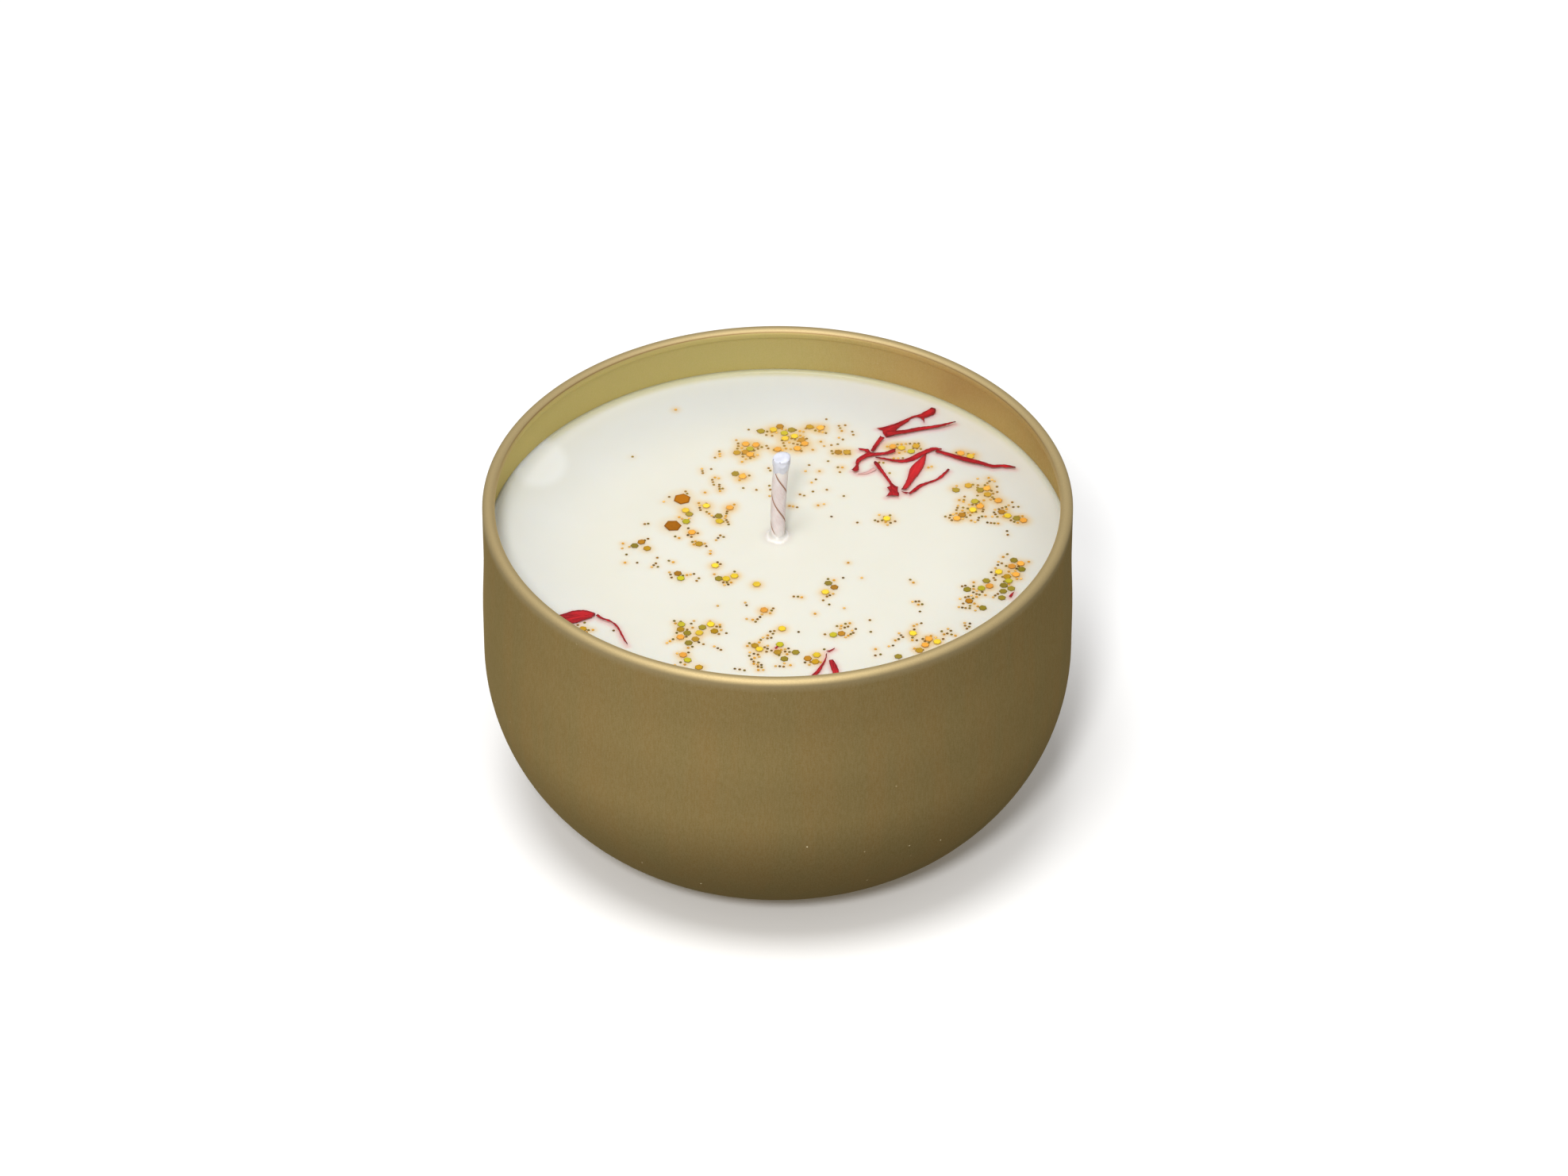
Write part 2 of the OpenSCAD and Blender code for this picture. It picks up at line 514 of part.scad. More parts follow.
module glitter_fine_umber() {
    color([0.35, 0.24, 0.08]) fine_flakes(4);
}

// ---- Petals ----

// Unit normal to the left of a path at point i
function path_normal(path, i) =
    let (
        a = path[max(i - 1, 0)],
        b = path[min(i + 1, len(path) - 1)],
        d = (b - a) / norm(b - a)
    )
    [-d[1], d[0]];

// Outline of a strand: a centre line with a half width at each point
function strand(path, half_widths) = concat(
    [for (i = [0:len(path) - 1]) path[i] + half_widths[i] * path_normal(path, i)],
    [for (i = [len(path) - 1:-1:0]) path[i] - half_widths[i] * path_normal(path, i)]
);

// One petal as a thin sheet, layer counts sheets up from the wax
module petal(outline, layer) {
    color([0.72, 0.08, 0.13])
    translate([0, 0, wax_top + layer * petal_t]) linear_extrude(height = petal_t) polygon(outline);
}

module petal_wide_blade() {
    petal([
        [13.6, 25.8], [14.6, 26.2], [16.2, 27], [17.5, 27.9], [18.6, 28.7], [19.6, 29.1],
        [20.5, 29.9], [21.3, 30.6], [21.8, 30.3], [21.8, 29.4], [21.3, 28.8], [20.2, 28.2],
        [20.2, 27.1], [19.9, 28.1], [19.2, 28.5], [18.4, 28.2], [17.9, 27.2], [16.9, 26.4],
        [16.1, 25.2], [16, 24.3], [14.9, 23.8], [14.5, 24.6], [14.4, 25.4]
    ], 0);
}

module petal_long_strand() {
    petal(strand(
        [[14.9, 24.3], [16.4, 24.6], [18, 25.1], [19.7, 25.7], [21.1, 25.9], [22.6, 26.2], [24.5, 27]],
        [0.6, 0.5, 0.38, 0.4, 0.33, 0.3, 0.08]
    ), 1);
}

module petal_short_link() {
    petal(strand(
        [[14.4, 23.4], [13.8, 22.4], [13.4, 21.4], [12.9, 20.1]],
        [0.35, 0.26, 0.3, 0.2]
    ), 2);
}

module petal_hooked_strand() {
    petal([
        [10.1, 16.2], [10.6, 15.7], [11.1, 16.1], [11, 17.7], [11.6, 18.5], [12.6, 19.3], [14, 19.6],
        [15.4, 19.8], [16.1, 20.2], [16.2, 20.9], [15.6, 20.8], [15, 20.3], [13.6, 20.1],
        [12.8, 20.1], [12.4, 21], [11, 21.1], [11.2, 20.7], [11.9, 20.6], [12.2, 20],
        [11.2, 19.1], [10.6, 18.2], [10.7, 17.1]
    ], 1);
}

module petal_wavy_strand() {
    petal(strand(
        [
            [13.4, 19], [14.9, 18.8], [16.1, 18.4], [17.4, 18.4], [18.5, 19],
            [19.6, 20], [20.8, 20.8], [21.6, 21.1], [22.5, 20.9]
        ],
        [0.1, 0.22, 0.3, 0.36, 0.46, 0.46, 0.4, 0.36, 0.12]
    ), 0);
}

module petal_curved_strand() {
    petal(strand(
        [
            [21.7, 20.5], [23, 20], [24.4, 19.3], [25.8, 18.6], [27.2, 18],
            [28.4, 17.5], [29.4, 17], [30.6, 17.2], [31.6, 17], [32.5, 16.7]
        ],
        [0.3, 0.32, 0.42, 0.52, 0.45, 0.34, 0.36, 0.3, 0.3, 0.08]
    ), 1);
}

module petal_leaf() {
    petal([
        [20.4, 19.9], [20.2, 18.1], [19.8, 16.7], [19.2, 15.2], [18.4, 13.6], [17.8, 12.2],
        [17.5, 11.7], [16.8, 11.6], [17.3, 12.8], [17.7, 14.2], [17.9, 15.5], [18, 16.5],
        [18.6, 17.6], [19.4, 18.6]
    ], 1);
}

module petal_knotted_strand() {
    petal([
        [13.3, 18], [13.8, 17.7], [14.3, 16.4], [14.9, 15], [15.4, 13.9], [15.8, 12.9],
        [16.4, 12.5], [16.3, 11.6], [16.6, 10.7], [16.4, 10.3], [15.4, 10.4], [14.7, 10.2],
        [15.2, 11], [15.2, 11.7], [14.9, 12.4], [15.4, 12.7], [15, 13.9], [14.2, 15.5],
        [13.5, 16.7], [13.1, 17.6]
    ], 1);
}

// A paler shred between the hooked and the knotted strands
module petal_pale_strand() {
    petal(strand(
        [[13.3, 16.7], [12.5, 16], [11.6, 15.6], [10.9, 15.5]],
        [0.3, 0.26, 0.16, 0.06]
    ), 0);
}

module petal_thin_strand() {
    petal(strand(
        [[17.9, 10.8], [18.8, 11.9], [19.4, 12.8], [20.4, 13.5], [21.5, 14], [22.4, 14.9], [23.4, 16.3]],
        [0.15, 0.25, 0.26, 0.2, 0.16, 0.22, 0.14]
    ), 0);
}

module petal_folded_piece() {
    petal([
        [-29.2, -15.8], [-27.8, -15.1], [-27.5, -14.8], [-25.6, -14.6], [-24.9, -15], [-24.3, -15.4],
        [-24.3, -15.8], [-24.8, -16.3], [-26.2, -17], [-27.1, -17.5], [-27.9, -17.4], [-28.6, -16.8]
    ], 0);
}

module petal_tail_strand() {
    petal(strand(
        [
            [-24.1, -15.8], [-23.4, -16.6], [-22.4, -17.1], [-21.4, -18.1],
            [-20.9, -19.4], [-20.4, -21], [-19.9, -22.2]
        ],
        [0.2, 0.16, 0.14, 0.13, 0.12, 0.12, 0.06]
    ), 1);
}

module petal_front_strand() {
    petal(strand(
        [[6.5, -24], [6.4, -25], [6.1, -25.9], [5.7, -26.9], [5.3, -27.8], [4.6, -28.9], [3.9, -29.8]],
        [0.06, 0.08, 0.14, 0.2, 0.26, 0.3, 0.15]
    ), 0);
}

module petal_front_leaf() {
    petal([
        [6.8, -25.5], [7.3, -25.3], [7.6, -25.8], [7.9, -26.6], [8.1, -27.6], [8.3, -28.8],
        [7.8, -29.8], [7.4, -28.6], [7.1, -27.2], [6.9, -26.3]
    ], 0);
}

module petal_front_sliver() {
    petal(strand([[6.5, -23.5], [6.9, -23.4], [7.2, -23.1], [7.6, -22.9]], [0.08, 0.14, 0.1, 0.06]), 0);
}

// Torn bits of petal
module petal_crumbs() {
    petal([[-0.5, -22.8], [-0.1, -22.4], [0.1, -22.5], [-0.2, -22.9]], 0);
    petal([[30.9, -11.7], [31.2, -11.1], [31.7, -10.7], [31.4, -11.4], [31.2, -11.9]], 0);
    petal([[16.8, 11.4], [17.5, 11.3], [17.9, 11.1], [17.4, 11]], 0);
}

tin_cup();
wick_sticker();
wick_sustainer();
wick_core();
wick_thread();
wick_cap();
wax_fill();
glitter_large_amber();
glitter_medium_gold();
glitter_medium_olive();
glitter_medium_brown();
glitter_medium_yellow();
glitter_medium_orange();
glitter_medium_lime();
glitter_fine_brown();
glitter_fine_olive();
glitter_fine_gold();
glitter_fine_peach();
glitter_fine_umber();
petal_wide_blade();
petal_long_strand();
petal_short_link();
petal_hooked_strand();
petal_wavy_strand();
petal_curved_strand();
petal_leaf();
petal_knotted_strand();
petal_pale_strand();
petal_thin_strand();
petal_folded_piece();
petal_tail_strand();
petal_front_strand();
petal_front_leaf();
petal_front_sliver();
petal_crumbs();
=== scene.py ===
"""Looks of the gold candle tin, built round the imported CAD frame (metres, +Z up).

The buried wick parts keep their CAD meshes and get materials. The tin, the wax, the
wick, the glitter and the petals are rebuilt here in finer detail, each one in the
place that its CAD node has.
"""

import json
import math
import random

import bmesh
import bpy
import numpy as np
from mathutils import Matrix, Vector, geometry, kdtree, noise


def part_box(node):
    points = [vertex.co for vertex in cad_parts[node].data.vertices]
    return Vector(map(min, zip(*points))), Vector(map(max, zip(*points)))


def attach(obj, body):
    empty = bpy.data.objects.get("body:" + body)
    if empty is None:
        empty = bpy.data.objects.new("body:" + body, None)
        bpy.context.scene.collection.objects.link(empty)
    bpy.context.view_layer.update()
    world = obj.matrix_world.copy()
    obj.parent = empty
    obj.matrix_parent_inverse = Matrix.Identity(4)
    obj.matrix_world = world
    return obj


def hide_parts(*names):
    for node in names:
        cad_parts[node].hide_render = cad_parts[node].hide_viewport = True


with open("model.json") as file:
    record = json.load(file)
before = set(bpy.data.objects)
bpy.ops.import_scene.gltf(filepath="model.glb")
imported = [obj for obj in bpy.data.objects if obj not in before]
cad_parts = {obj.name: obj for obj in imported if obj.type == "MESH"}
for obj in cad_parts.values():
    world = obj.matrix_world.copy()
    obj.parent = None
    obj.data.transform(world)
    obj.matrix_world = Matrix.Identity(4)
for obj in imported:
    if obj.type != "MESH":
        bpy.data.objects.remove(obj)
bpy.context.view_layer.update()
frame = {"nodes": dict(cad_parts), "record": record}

MM = 0.001
BODY = "root"
# Each glitter node has its own seed, counted from the first, and each petal from the second
GLITTER_SEED = 21
PETAL_SEED = 121
# Points closer than this are one point, and nothing is divided by less
TINY = 0.001 * MM
WHITE = Vector((1, 1, 1))

# ------------------------------------ places
_, tin_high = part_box("tin_cup")
_, wax_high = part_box("wax_fill")
RIM_Z = tin_high.z
WAX_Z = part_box("glitter_fine_brown")[0].z
lid_seat = next(m for m in frame["record"]["mounts"] if m["name"] == "lid_seat")
WALL = tin_high.x - wax_high.x
BODY_R = tin_high.x
NECK_R = lid_seat["dims"]["r_mm"] * MM
WAX_EDGE = NECK_R - WALL
sustainer_low, sustainer_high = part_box("wick_sustainer")
WICK_FOOT = Vector(((sustainer_low.x + sustainer_high.x) / 2,
                    (sustainer_low.y + sustainer_high.y) / 2, WAX_Z))


def top_centre(node):
    """The middle of a CAD node's highest vertices."""
    points = [v.co for v in frame["nodes"][node].data.vertices]
    level = max(p.z for p in points) - 0.1 * MM
    highest = [p for p in points if p.z > level]
    return sum(highest, Vector()) / len(highest)


WICK_TIP = top_centre("wick_core")
CAP_TIP = top_centre("wick_cap")


# ------------------------------------ small tools
def place(obj, slot, *nodes):
    """Puts a finished piece on the one body, instead of its CAD nodes; slot is not used."""
    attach(obj, BODY)
    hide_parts(*nodes)


def new_mesh(name, points, faces, mat):
    """A smooth-shaded mesh object from plain lists."""
    mesh = bpy.data.meshes.new(name)
    mesh.from_pydata([tuple(p) for p in points], [], faces)
    mesh.update()
    mesh.shade_smooth()
    mesh.materials.append(mat)
    obj = bpy.data.objects.new(name, mesh)
    bpy.context.scene.collection.objects.link(obj)
    return obj


def point_attribute(obj, name, kind, values):
    """Stores one value per vertex for the materials to read."""
    field = {"FLOAT": "value", "FLOAT_VECTOR": "vector", "FLOAT_COLOR": "color"}[kind]
    attribute = obj.data.attributes.new(name, kind, "POINT")
    attribute.data.foreach_set(field, np.asarray(values, np.float32).ravel())


def around(sides):
    """Equally spaced angles all the way round."""
    return [2 * math.pi * k / sides for k in range(sides)]


def ring_faces(rings, sides, first=0):
    """Quads between stacked rings of vertices."""
    return [(first + i * sides + k, first + i * sides + (k + 1) % sides,
             first + (i + 1) * sides + (k + 1) % sides, first + (i + 1) * sides + k)
            for i in range(rings - 1) for k in range(sides)]


def tube(rings, sides, name, mat):
    """A closed tube from rings of points, each end closed by a fan to its middle."""
    points = [p for ring in rings for p in ring]
    faces = ring_faces(len(rings), sides)
    for ring, start, flip in ((rings[0], 0, True), (rings[-1], (len(rings) - 1) * sides, False)):
        middle = len(points)
        points.append(sum((Vector(p) for p in ring), Vector()) / sides)
        for k in range(sides):
            a, b = start + k, start + (k + 1) % sides
            faces.append((b, a, middle) if flip else (a, b, middle))
    return new_mesh(name, points, faces, mat)


def clamp(value):
    """The value, kept between 0 and 1."""
    return max(0.0, min(1.0, value))


def smooth_step(value):
    """Rises smoothly from 0 to 1 as the value goes from 0 to 1."""
    value = clamp(value)
    return value * value * (3 - 2 * value)


# ------------------------------------ material tools
def material(name, **sockets):
    """A material with its Principled shader; sockets are set with _ for spaces."""
    mat = bpy.data.materials.new(name)
    mat.use_nodes = True
    shader = next(n for n in mat.node_tree.nodes if n.type == "BSDF_PRINCIPLED")
    for key, value in sockets.items():
        shader.inputs[key.replace("_", " ")].default_value = value
    return mat, mat.node_tree, shader


def add(tree, kind, inputs=None, **settings):
    """Adds a shader node; an input is a value or another node's socket."""
    node = tree.nodes.new("ShaderNode" + kind)
    for key, value in settings.items():
        setattr(node, key, value)
    for key, value in (inputs or {}).items():
        if isinstance(value, bpy.types.NodeSocket):
            tree.links.new(value, node.inputs[key])
        else:
            node.inputs[key].default_value = value
    return node


def object_place(tree):
    """The shaded point's place on the object, in metres."""
    return add(tree, "TexCoord").outputs["Object"]


def object_noise(tree, cells_per_mm, detail=2.0, rough=0.5, source=None):
    """Noise over the object, with its own number of cells per millimetre on each axis."""
    scale = tuple(c / MM for c in cells_per_mm)
    if source is None:
        source = object_place(tree)
    mapped = add(tree, "Mapping", {"Vector": source, "Scale": scale})
    made = add(tree, "TexNoise", {"Vector": mapped.outputs[0], "Scale": 1.0,
                                  "Detail": detail, "Roughness": rough})
    return made.outputs["Fac"]


def spread(tree, value, low, high, to_low=0.0, to_high=1.0):
    """Maps low..high to to_low..to_high, clamped."""
    made = add(tree, "MapRange", {"Value": value, "From Min": low, "From Max": high,
                                  "To Min": to_low, "To Max": to_high})
    return made.outputs["Result"]


def mix(tree, factor, a, b, mode="MIX"):
    """Mixes two colours."""
    node = add(tree, "Mix", data_type="RGBA", blend_type=mode)
    for index, value in ((0, factor), (6, a), (7, b)):
        if isinstance(value, bpy.types.NodeSocket):
            tree.links.new(value, node.inputs[index])
        elif index:
            node.inputs[index].default_value = (*value[:3], 1.0)
        else:
            node.inputs[index].default_value = value
    return node.outputs[2]


def math_node(tree, operation, a, b):
    """Works out a and b by this operation of the Math node."""
    return add(tree, "Math", {0: a, 1: b}, operation=operation).outputs[0]


def multiply(tree, a, b):
    return math_node(tree, "MULTIPLY", a, b)


def specks(tree, per_mm, radii, channel, shares):
    """Round specks, at most one in each Voronoi cell: 1 inside a speck and 0 outside.

    radii are a speck's outer and inner radius in cells. Only a cell whose random colour
    has more of this channel than shares, from faint to full, has a speck.
    """
    cells = add(tree, "TexVoronoi", {"Vector": object_place(tree), "Scale": per_mm / MM})
    near = spread(tree, cells.outputs["Distance"], *radii)
    pick = add(tree, "SeparateColor", {0: cells.outputs["Color"]}).outputs[channel]
    return multiply(tree, near, spread(tree, pick, *shares))


def bump(tree, shader, height, distance, strength=1.0):
    """Adds a bump of this height in metres, over any bump already there."""
    inputs = {"Height": height, "Distance": distance, "Strength": strength}
    if shader.inputs["Normal"].is_linked:
        inputs["Normal"] = shader.inputs["Normal"].links[0].from_socket
    made = add(tree, "Bump", inputs)
    tree.links.new(made.outputs[0], shader.inputs["Normal"])


def link(tree, source, shader, socket):
    tree.links.new(source, shader.inputs[socket])


def attribute(tree, name, output="Fac"):
    return add(tree, "Attribute", attribute_name=name).outputs[output]


# ------------------------------------ materials
def scratches(tree, height):
    """Hair-fine rubbed lines low on the side, where a slow noise passes through its middle."""
    swirl = object_noise(tree, (0.30, 0.30, 0.22), 1.0)
    off_middle = math_node(tree, "ABSOLUTE", math_node(tree, "SUBTRACT", swirl, 0.5), 0.0)
    line = spread(tree, off_middle, 0.0022, 0.0)
    patch = spread(tree, object_noise(tree, (0.25, 0.25, 0.4), 1.0), 0.60, 0.66)
    low_down = spread(tree, height, 26 * MM, 20 * MM)
    return multiply(tree, line, multiply(tree, patch, low_down))


def gold_lacquer():
    """Satin gold lacquer on drawn tinplate: fine grain, slow brown and olive drifts, dust, a painted
    reflection inside the neck and a painted shadow under the curl.
    """
    mat, tree, shader = material("gold_lacquer", Coat_Weight=0.1, Coat_Roughness=0.4, Coat_IOR=1.45,
                                 Specular_Tint=(0.70, 0.64, 0.46, 1.0))
    grain = object_noise(tree, (5.0, 5.0, 0.9), 2.0)
    fine = object_noise(tree, (13.0, 13.0, 4.0), 1.0)
    drift = object_noise(tree, (0.30, 0.30, 0.04), 2.0)
    cloud = object_noise(tree, (0.07, 0.07, 0.09), 2.0)
    speckle = object_noise(tree, (6.0, 6.0, 6.0), 2.0, 0.7)
    rim = attribute(tree, "rim_gold")
    gold = mix(tree, spread(tree, drift, 0.38, 0.62), (0.525, 0.352, 0.115), (0.480, 0.352, 0.122))
    # The green and brown golds carry a painted reflection inside the neck, and the dark last layer is a
    # painted shadow under the curl
    layers = ((spread(tree, cloud, 0.35, 0.7, 0.0, 0.4), (0.485, 0.335, 0.110)),
              (spread(tree, grain, 0.38, 0.62, 0.0, 0.4), (0.60, 0.455, 0.20)),
              (attribute(tree, "green_gold_and_painted_reflection"), (0.61, 0.53, 0.20)),
              (attribute(tree, "brown_gold_and_painted_reflection"), (0.61, 0.42, 0.155)),
              (rim, (0.57, 0.465, 0.26)),
              (spread(tree, speckle, 0.38, 0.66, 0.0, 0.35), (0.66, 0.52, 0.28)),
              (attribute(tree, "rim_painted_shadow"), (0.30, 0.17, 0.055)))
    for share, colour in layers:
        gold = mix(tree, share, gold, colour)
    # Scattered dust and tiny pale nicks, most of them low on the side
    height = add(tree, "SeparateXYZ", {0: object_place(tree)}).outputs[2]
    low_down = spread(tree, height, 32 * MM, 22 * MM, 0.2, 0.8)
    dust = multiply(tree, specks(tree, 0.5, (0.07, 0.04), 0, (0.78, 0.80)), low_down)
    marks = math_node(tree, "MAXIMUM", dust, multiply(tree, scratches(tree, height), 0.35))
    link(tree, mix(tree, marks, gold, (0.66, 0.60, 0.42)), shader, "Base Color")
    link(tree, math_node(tree, "SUBTRACT", 1.0, dust), shader, "Metallic")
    rough = spread(tree, fine, 0.3, 0.7, 0.55, 0.63)
    link(tree, math_node(tree, "ADD", rough, multiply(tree, rim, 0.10)), shader, "Roughness")
    bump(tree, shader, grain, 0.010 * MM, 0.6)
    bump(tree, shader, fine, 0.002 * MM, 0.6)
    bump(tree, shader, marks, 0.02 * MM, 0.8)
    return mat


def cream_wax():
    """Container wax: milky, faintly see-through, stained where petals and glitter lie, with painted
    shade, highlight and reflection in its stain colour.
    """
    mat, tree, shader = material("cream_wax", Roughness=0.36, Subsurface_Weight=0.35,
                                 Subsurface_Radius=(1.0, 0.75, 0.5), Subsurface_Scale=2.0 * MM)
    # The stain colour also holds painted shade, a painted highlight and a painted reflection
    stain_and_painted_light = attribute(tree, "stain_and_painted_light", "Color")
    mottle = object_noise(tree, (0.10, 0.10, 0.10), 3.0)
    cloudy = spread(tree, mottle, 0.35, 0.65, 0.0, 0.5)
    milky = mix(tree, cloudy, (0.70, 0.685, 0.595), (0.72, 0.71, 0.635))
    link(tree, mix(tree, 1.0, milky, stain_and_painted_light, "MULTIPLY"), shader, "Base Color")
    sheen = object_noise(tree, (0.35, 0.35, 0.35), 2.0)
    link(tree, spread(tree, sheen, 0.3, 0.7, 0.30, 0.40), shader, "Roughness")
    bump(tree, shader, object_noise(tree, (1.5, 1.5, 1.5), 2.0), 0.006 * MM, 0.5)
    return mat


def wick_cotton():
    """Wax-soaked twisted cotton, pale and faintly pink, with its fibres along the twist."""
    mat, tree, shader = material("wick_cotton", Roughness=0.5, Subsurface_Weight=0.3,
                                 Subsurface_Radius=(0.8, 0.5, 0.4), Subsurface_Scale=0.5 * MM)
    lay = attribute(tree, "lay", "Vector")
    fibre = object_noise(tree, (0.012, 0.0012, 0.001), 3.0, source=lay)
    patch = object_noise(tree, (0.9, 0.9, 0.5), 2.0)
    tone = mix(tree, spread(tree, fibre, 0.3, 0.7), (0.62, 0.515, 0.50), (0.76, 0.675, 0.675))
    tone = mix(tree, spread(tree, patch, 0.4, 0.7, 0.0, 0.6), tone, (0.80, 0.76, 0.75))
    # Wax has crept up the wick's foot and down from its coat
    tone = mix(tree, attribute(tree, "soak"), tone, (0.78, 0.76, 0.72))
    link(tree, tone, shader, "Base Color")
    bump(tree, shader, fibre, 0.03 * MM, 0.7)
    return mat


def brown_thread():
    """Twisted brown paper thread."""
    mat, tree, shader = material("brown_thread", Roughness=0.7)
    twist = object_noise(tree, (5.0, 5.0, 9.0), 2.0)
    link(tree, mix(tree, twist, (0.22, 0.10, 0.055), (0.40, 0.22, 0.14)), shader, "Base Color")
    bump(tree, shader, twist, 0.03 * MM, 0.6)
    return mat


def white_coat():
    """White wax on the wick's end, with a few tiny dark specks caught in it."""
    mat, tree, shader = material("white_coat", Roughness=0.4, Subsurface_Weight=0.3,
                                 Subsurface_Radius=(0.8, 0.7, 0.7), Subsurface_Scale=0.5 * MM)
    speck = specks(tree, 1.1, (0.24, 0.14), 1, (0.36, 0.40))
    lump = object_noise(tree, (1.6, 1.6, 1.6), 3.0)
    white = mix(tree, lump, (0.52, 0.54, 0.63), (0.76, 0.77, 0.84))
    link(tree, mix(tree, speck, white, (0.10, 0.075, 0.12)), shader, "Base Color")
    bump(tree, shader, lump, 0.08 * MM, 0.6)
    return mat


def film(name, colour):
    """Coloured glitter film: each flake a little lighter or darker, and darker at its edge."""
    rough = 0.42
    mat, tree, shader = material("film_" + name, Metallic=0.05, Roughness=rough,
                                 Specular_IOR_Level=0.15)
    dark = tuple(c * 0.62 for c in colour)
    light = tuple(min(1.0, c * 1.20) for c in colour)
    shade = mix(tree, attribute(tree, "tone"), dark, light)
    cloud = object_noise(tree, (3.0, 3.0, 3.0), 2.0)
    shade = mix(tree, spread(tree, cloud, 0.35, 0.75, 0.0, 0.35), shade, light)
    shade = mix(tree, attribute(tree, "edge"), shade, tuple(c * 0.5 for c in colour))
    # A flake under a little wax looks paler and more orange
    shade = mix(tree, attribute(tree, "sunk"), shade, (0.90, 0.55, 0.13))
    link(tree, shade, shader, "Base Color")
    link(tree, spread(tree, cloud, 0.3, 0.7, rough - 0.08, rough + 0.1), shader, "Roughness")
    bump(tree, shader, cloud, 0.004 * MM, 0.5)
    return mat


def dried_petal():
    """Dried red petal: veined along its length, darker and browner at the torn ends."""
    mat, tree, shader = material("dried_petal", Roughness=0.6, Subsurface_Weight=0.12,
                                 Subsurface_Radius=(1.0, 0.2, 0.2), Subsurface_Scale=0.4 * MM,
                                 Specular_IOR_Level=0.25)
    lay = attribute(tree, "lay", "Vector")
    vein = object_noise(tree, (0.0006, 0.0045, 0.001), 3.0, 0.6, source=lay)
    blotch = object_noise(tree, (0.5, 0.5, 0.5), 3.0)
    red = mix(tree, spread(tree, vein, 0.38, 0.62), (0.26, 0.004, 0.008), (0.56, 0.012, 0.018))
    red = mix(tree, spread(tree, blotch, 0.45, 0.75, 0.0, 0.6), red, (0.20, 0.004, 0.010))
    red = mix(tree, attribute(tree, "bright"), red, (0.62, 0.020, 0.024))
    red = mix(tree, attribute(tree, "ends"), red, (0.09, 0.005, 0.010))
    red = mix(tree, attribute(tree, "pale"), red, (0.76, 0.50, 0.46))
    link(tree, red, shader, "Base Color")
    bump(tree, shader, vein, 0.05 * MM, 0.8)
    return mat


def plain_steel():
    """Tinned steel with a faint mottle."""
    mat, tree, shader = material("tinned_steel", Metallic=1.0)
    mottle = object_noise(tree, (1.2, 1.2, 1.2), 3.0)
    link(tree, mix(tree, mottle, (0.60, 0.60, 0.62), (0.78, 0.78, 0.80)), shader, "Base Color")
    link(tree, spread(tree, mottle, 0.3, 0.7, 0.25, 0.4), shader, "Roughness")
    return mat


def foam():
    """White foam with small cells."""
    mat, tree, shader = material("sticker_foam", Roughness=0.85)
    cell = object_noise(tree, (4.0, 4.0, 4.0), 2.0)
    link(tree, mix(tree, cell, (0.72, 0.72, 0.70), (0.88, 0.88, 0.86)), shader, "Base Color")
    bump(tree, shader, cell, 0.05 * MM)
    return mat


FILM_COLOURS = {
    "large_amber": (0.41, 0.135, 0.001),
    "medium_gold": (0.50, 0.27, 0.006),
    "medium_olive": (0.24, 0.19, 0.008),
    "medium_brown": (0.36, 0.15, 0.004),
    "medium_yellow": (0.90, 0.60, 0.03),
    "medium_orange": (0.90, 0.37, 0.045),
    "medium_lime": (0.50, 0.45, 0.012),
    "fine_brown": (0.22, 0.10, 0.008),
    "fine_olive": (0.16, 0.12, 0.010),
    "fine_gold": (0.66, 0.30, 0.015),
    "fine_peach": (0.80, 0.45, 0.10),
    "fine_umber": (0.11, 0.06, 0.008),
}


# ------------------------------------ reading the CAD nodes
def merged(node):
    """The CAD node as one joined bmesh."""
    bm = bmesh.new()
    bm.from_mesh(frame["nodes"][node].data)
    bmesh.ops.remove_doubles(bm, verts=bm.verts, dist=TINY)
    return bm


def cad_flakes(node):
    """Each flake of a glitter node: (centre, corner radius, turn)."""
    bm = merged(node)
    left = set(bm.verts)
    found = []
    while left:
        seed = left.pop()
        island, queue = [seed], [seed]
        while queue:
            for edge in queue.pop().link_edges:
                for v in edge.verts:
                    if v in left:
                        left.discard(v)
                        island.append(v)
                        queue.append(v)
        level = min(v.co.z for v in island) + 10 * TINY
        corners = [v.co for v in island if v.co.z < level]
        centre = sum(corners, Vector()) / len(corners)
        arm = corners[0] - centre
        found.append((centre, arm.length, math.atan2(arm.y, arm.x)))
    bm.free()
    return sorted(found, key=lambda f: (round(f[0].x, 6), round(f[0].y, 6)))


def cad_outlines(node):
    """The ordered outlines of a flat CAD petal's upper face."""
    bm = merged(node)
    level = max(v.co.z for v in bm.verts) - TINY
    used = {}
    for face in bm.faces:
        if all(v.co.z > level for v in face.verts):
            for edge in face.edges:
                used[edge] = used.get(edge, 0) + 1
    nextdoor = {}
    for edge, count in used.items():
        if count == 1:
            a, b = edge.verts
            nextdoor.setdefault(a, []).append(b)
            nextdoor.setdefault(b, []).append(a)
    loops = []
    while nextdoor:
        start = min(nextdoor, key=lambda v: (v.co.x, v.co.y))
        loop, before, here = [], None, start
        while True:
            loop.append(here.co.copy())
            step = next(v for v in nextdoor.pop(here) if v is not before)
            before, here = here, step
            if here is start:
                break
        loops.append(loop)
    bm.free()
    return loops


PETALS = sorted(n for n in frame["nodes"] if n.startswith("petal_"))
GLITTER = sorted(n for n in frame["nodes"] if n.startswith("glitter_"))
flakes = {n: cad_flakes(n) for n in GLITTER}
outlines = {n: cad_outlines(n) for n in PETALS}


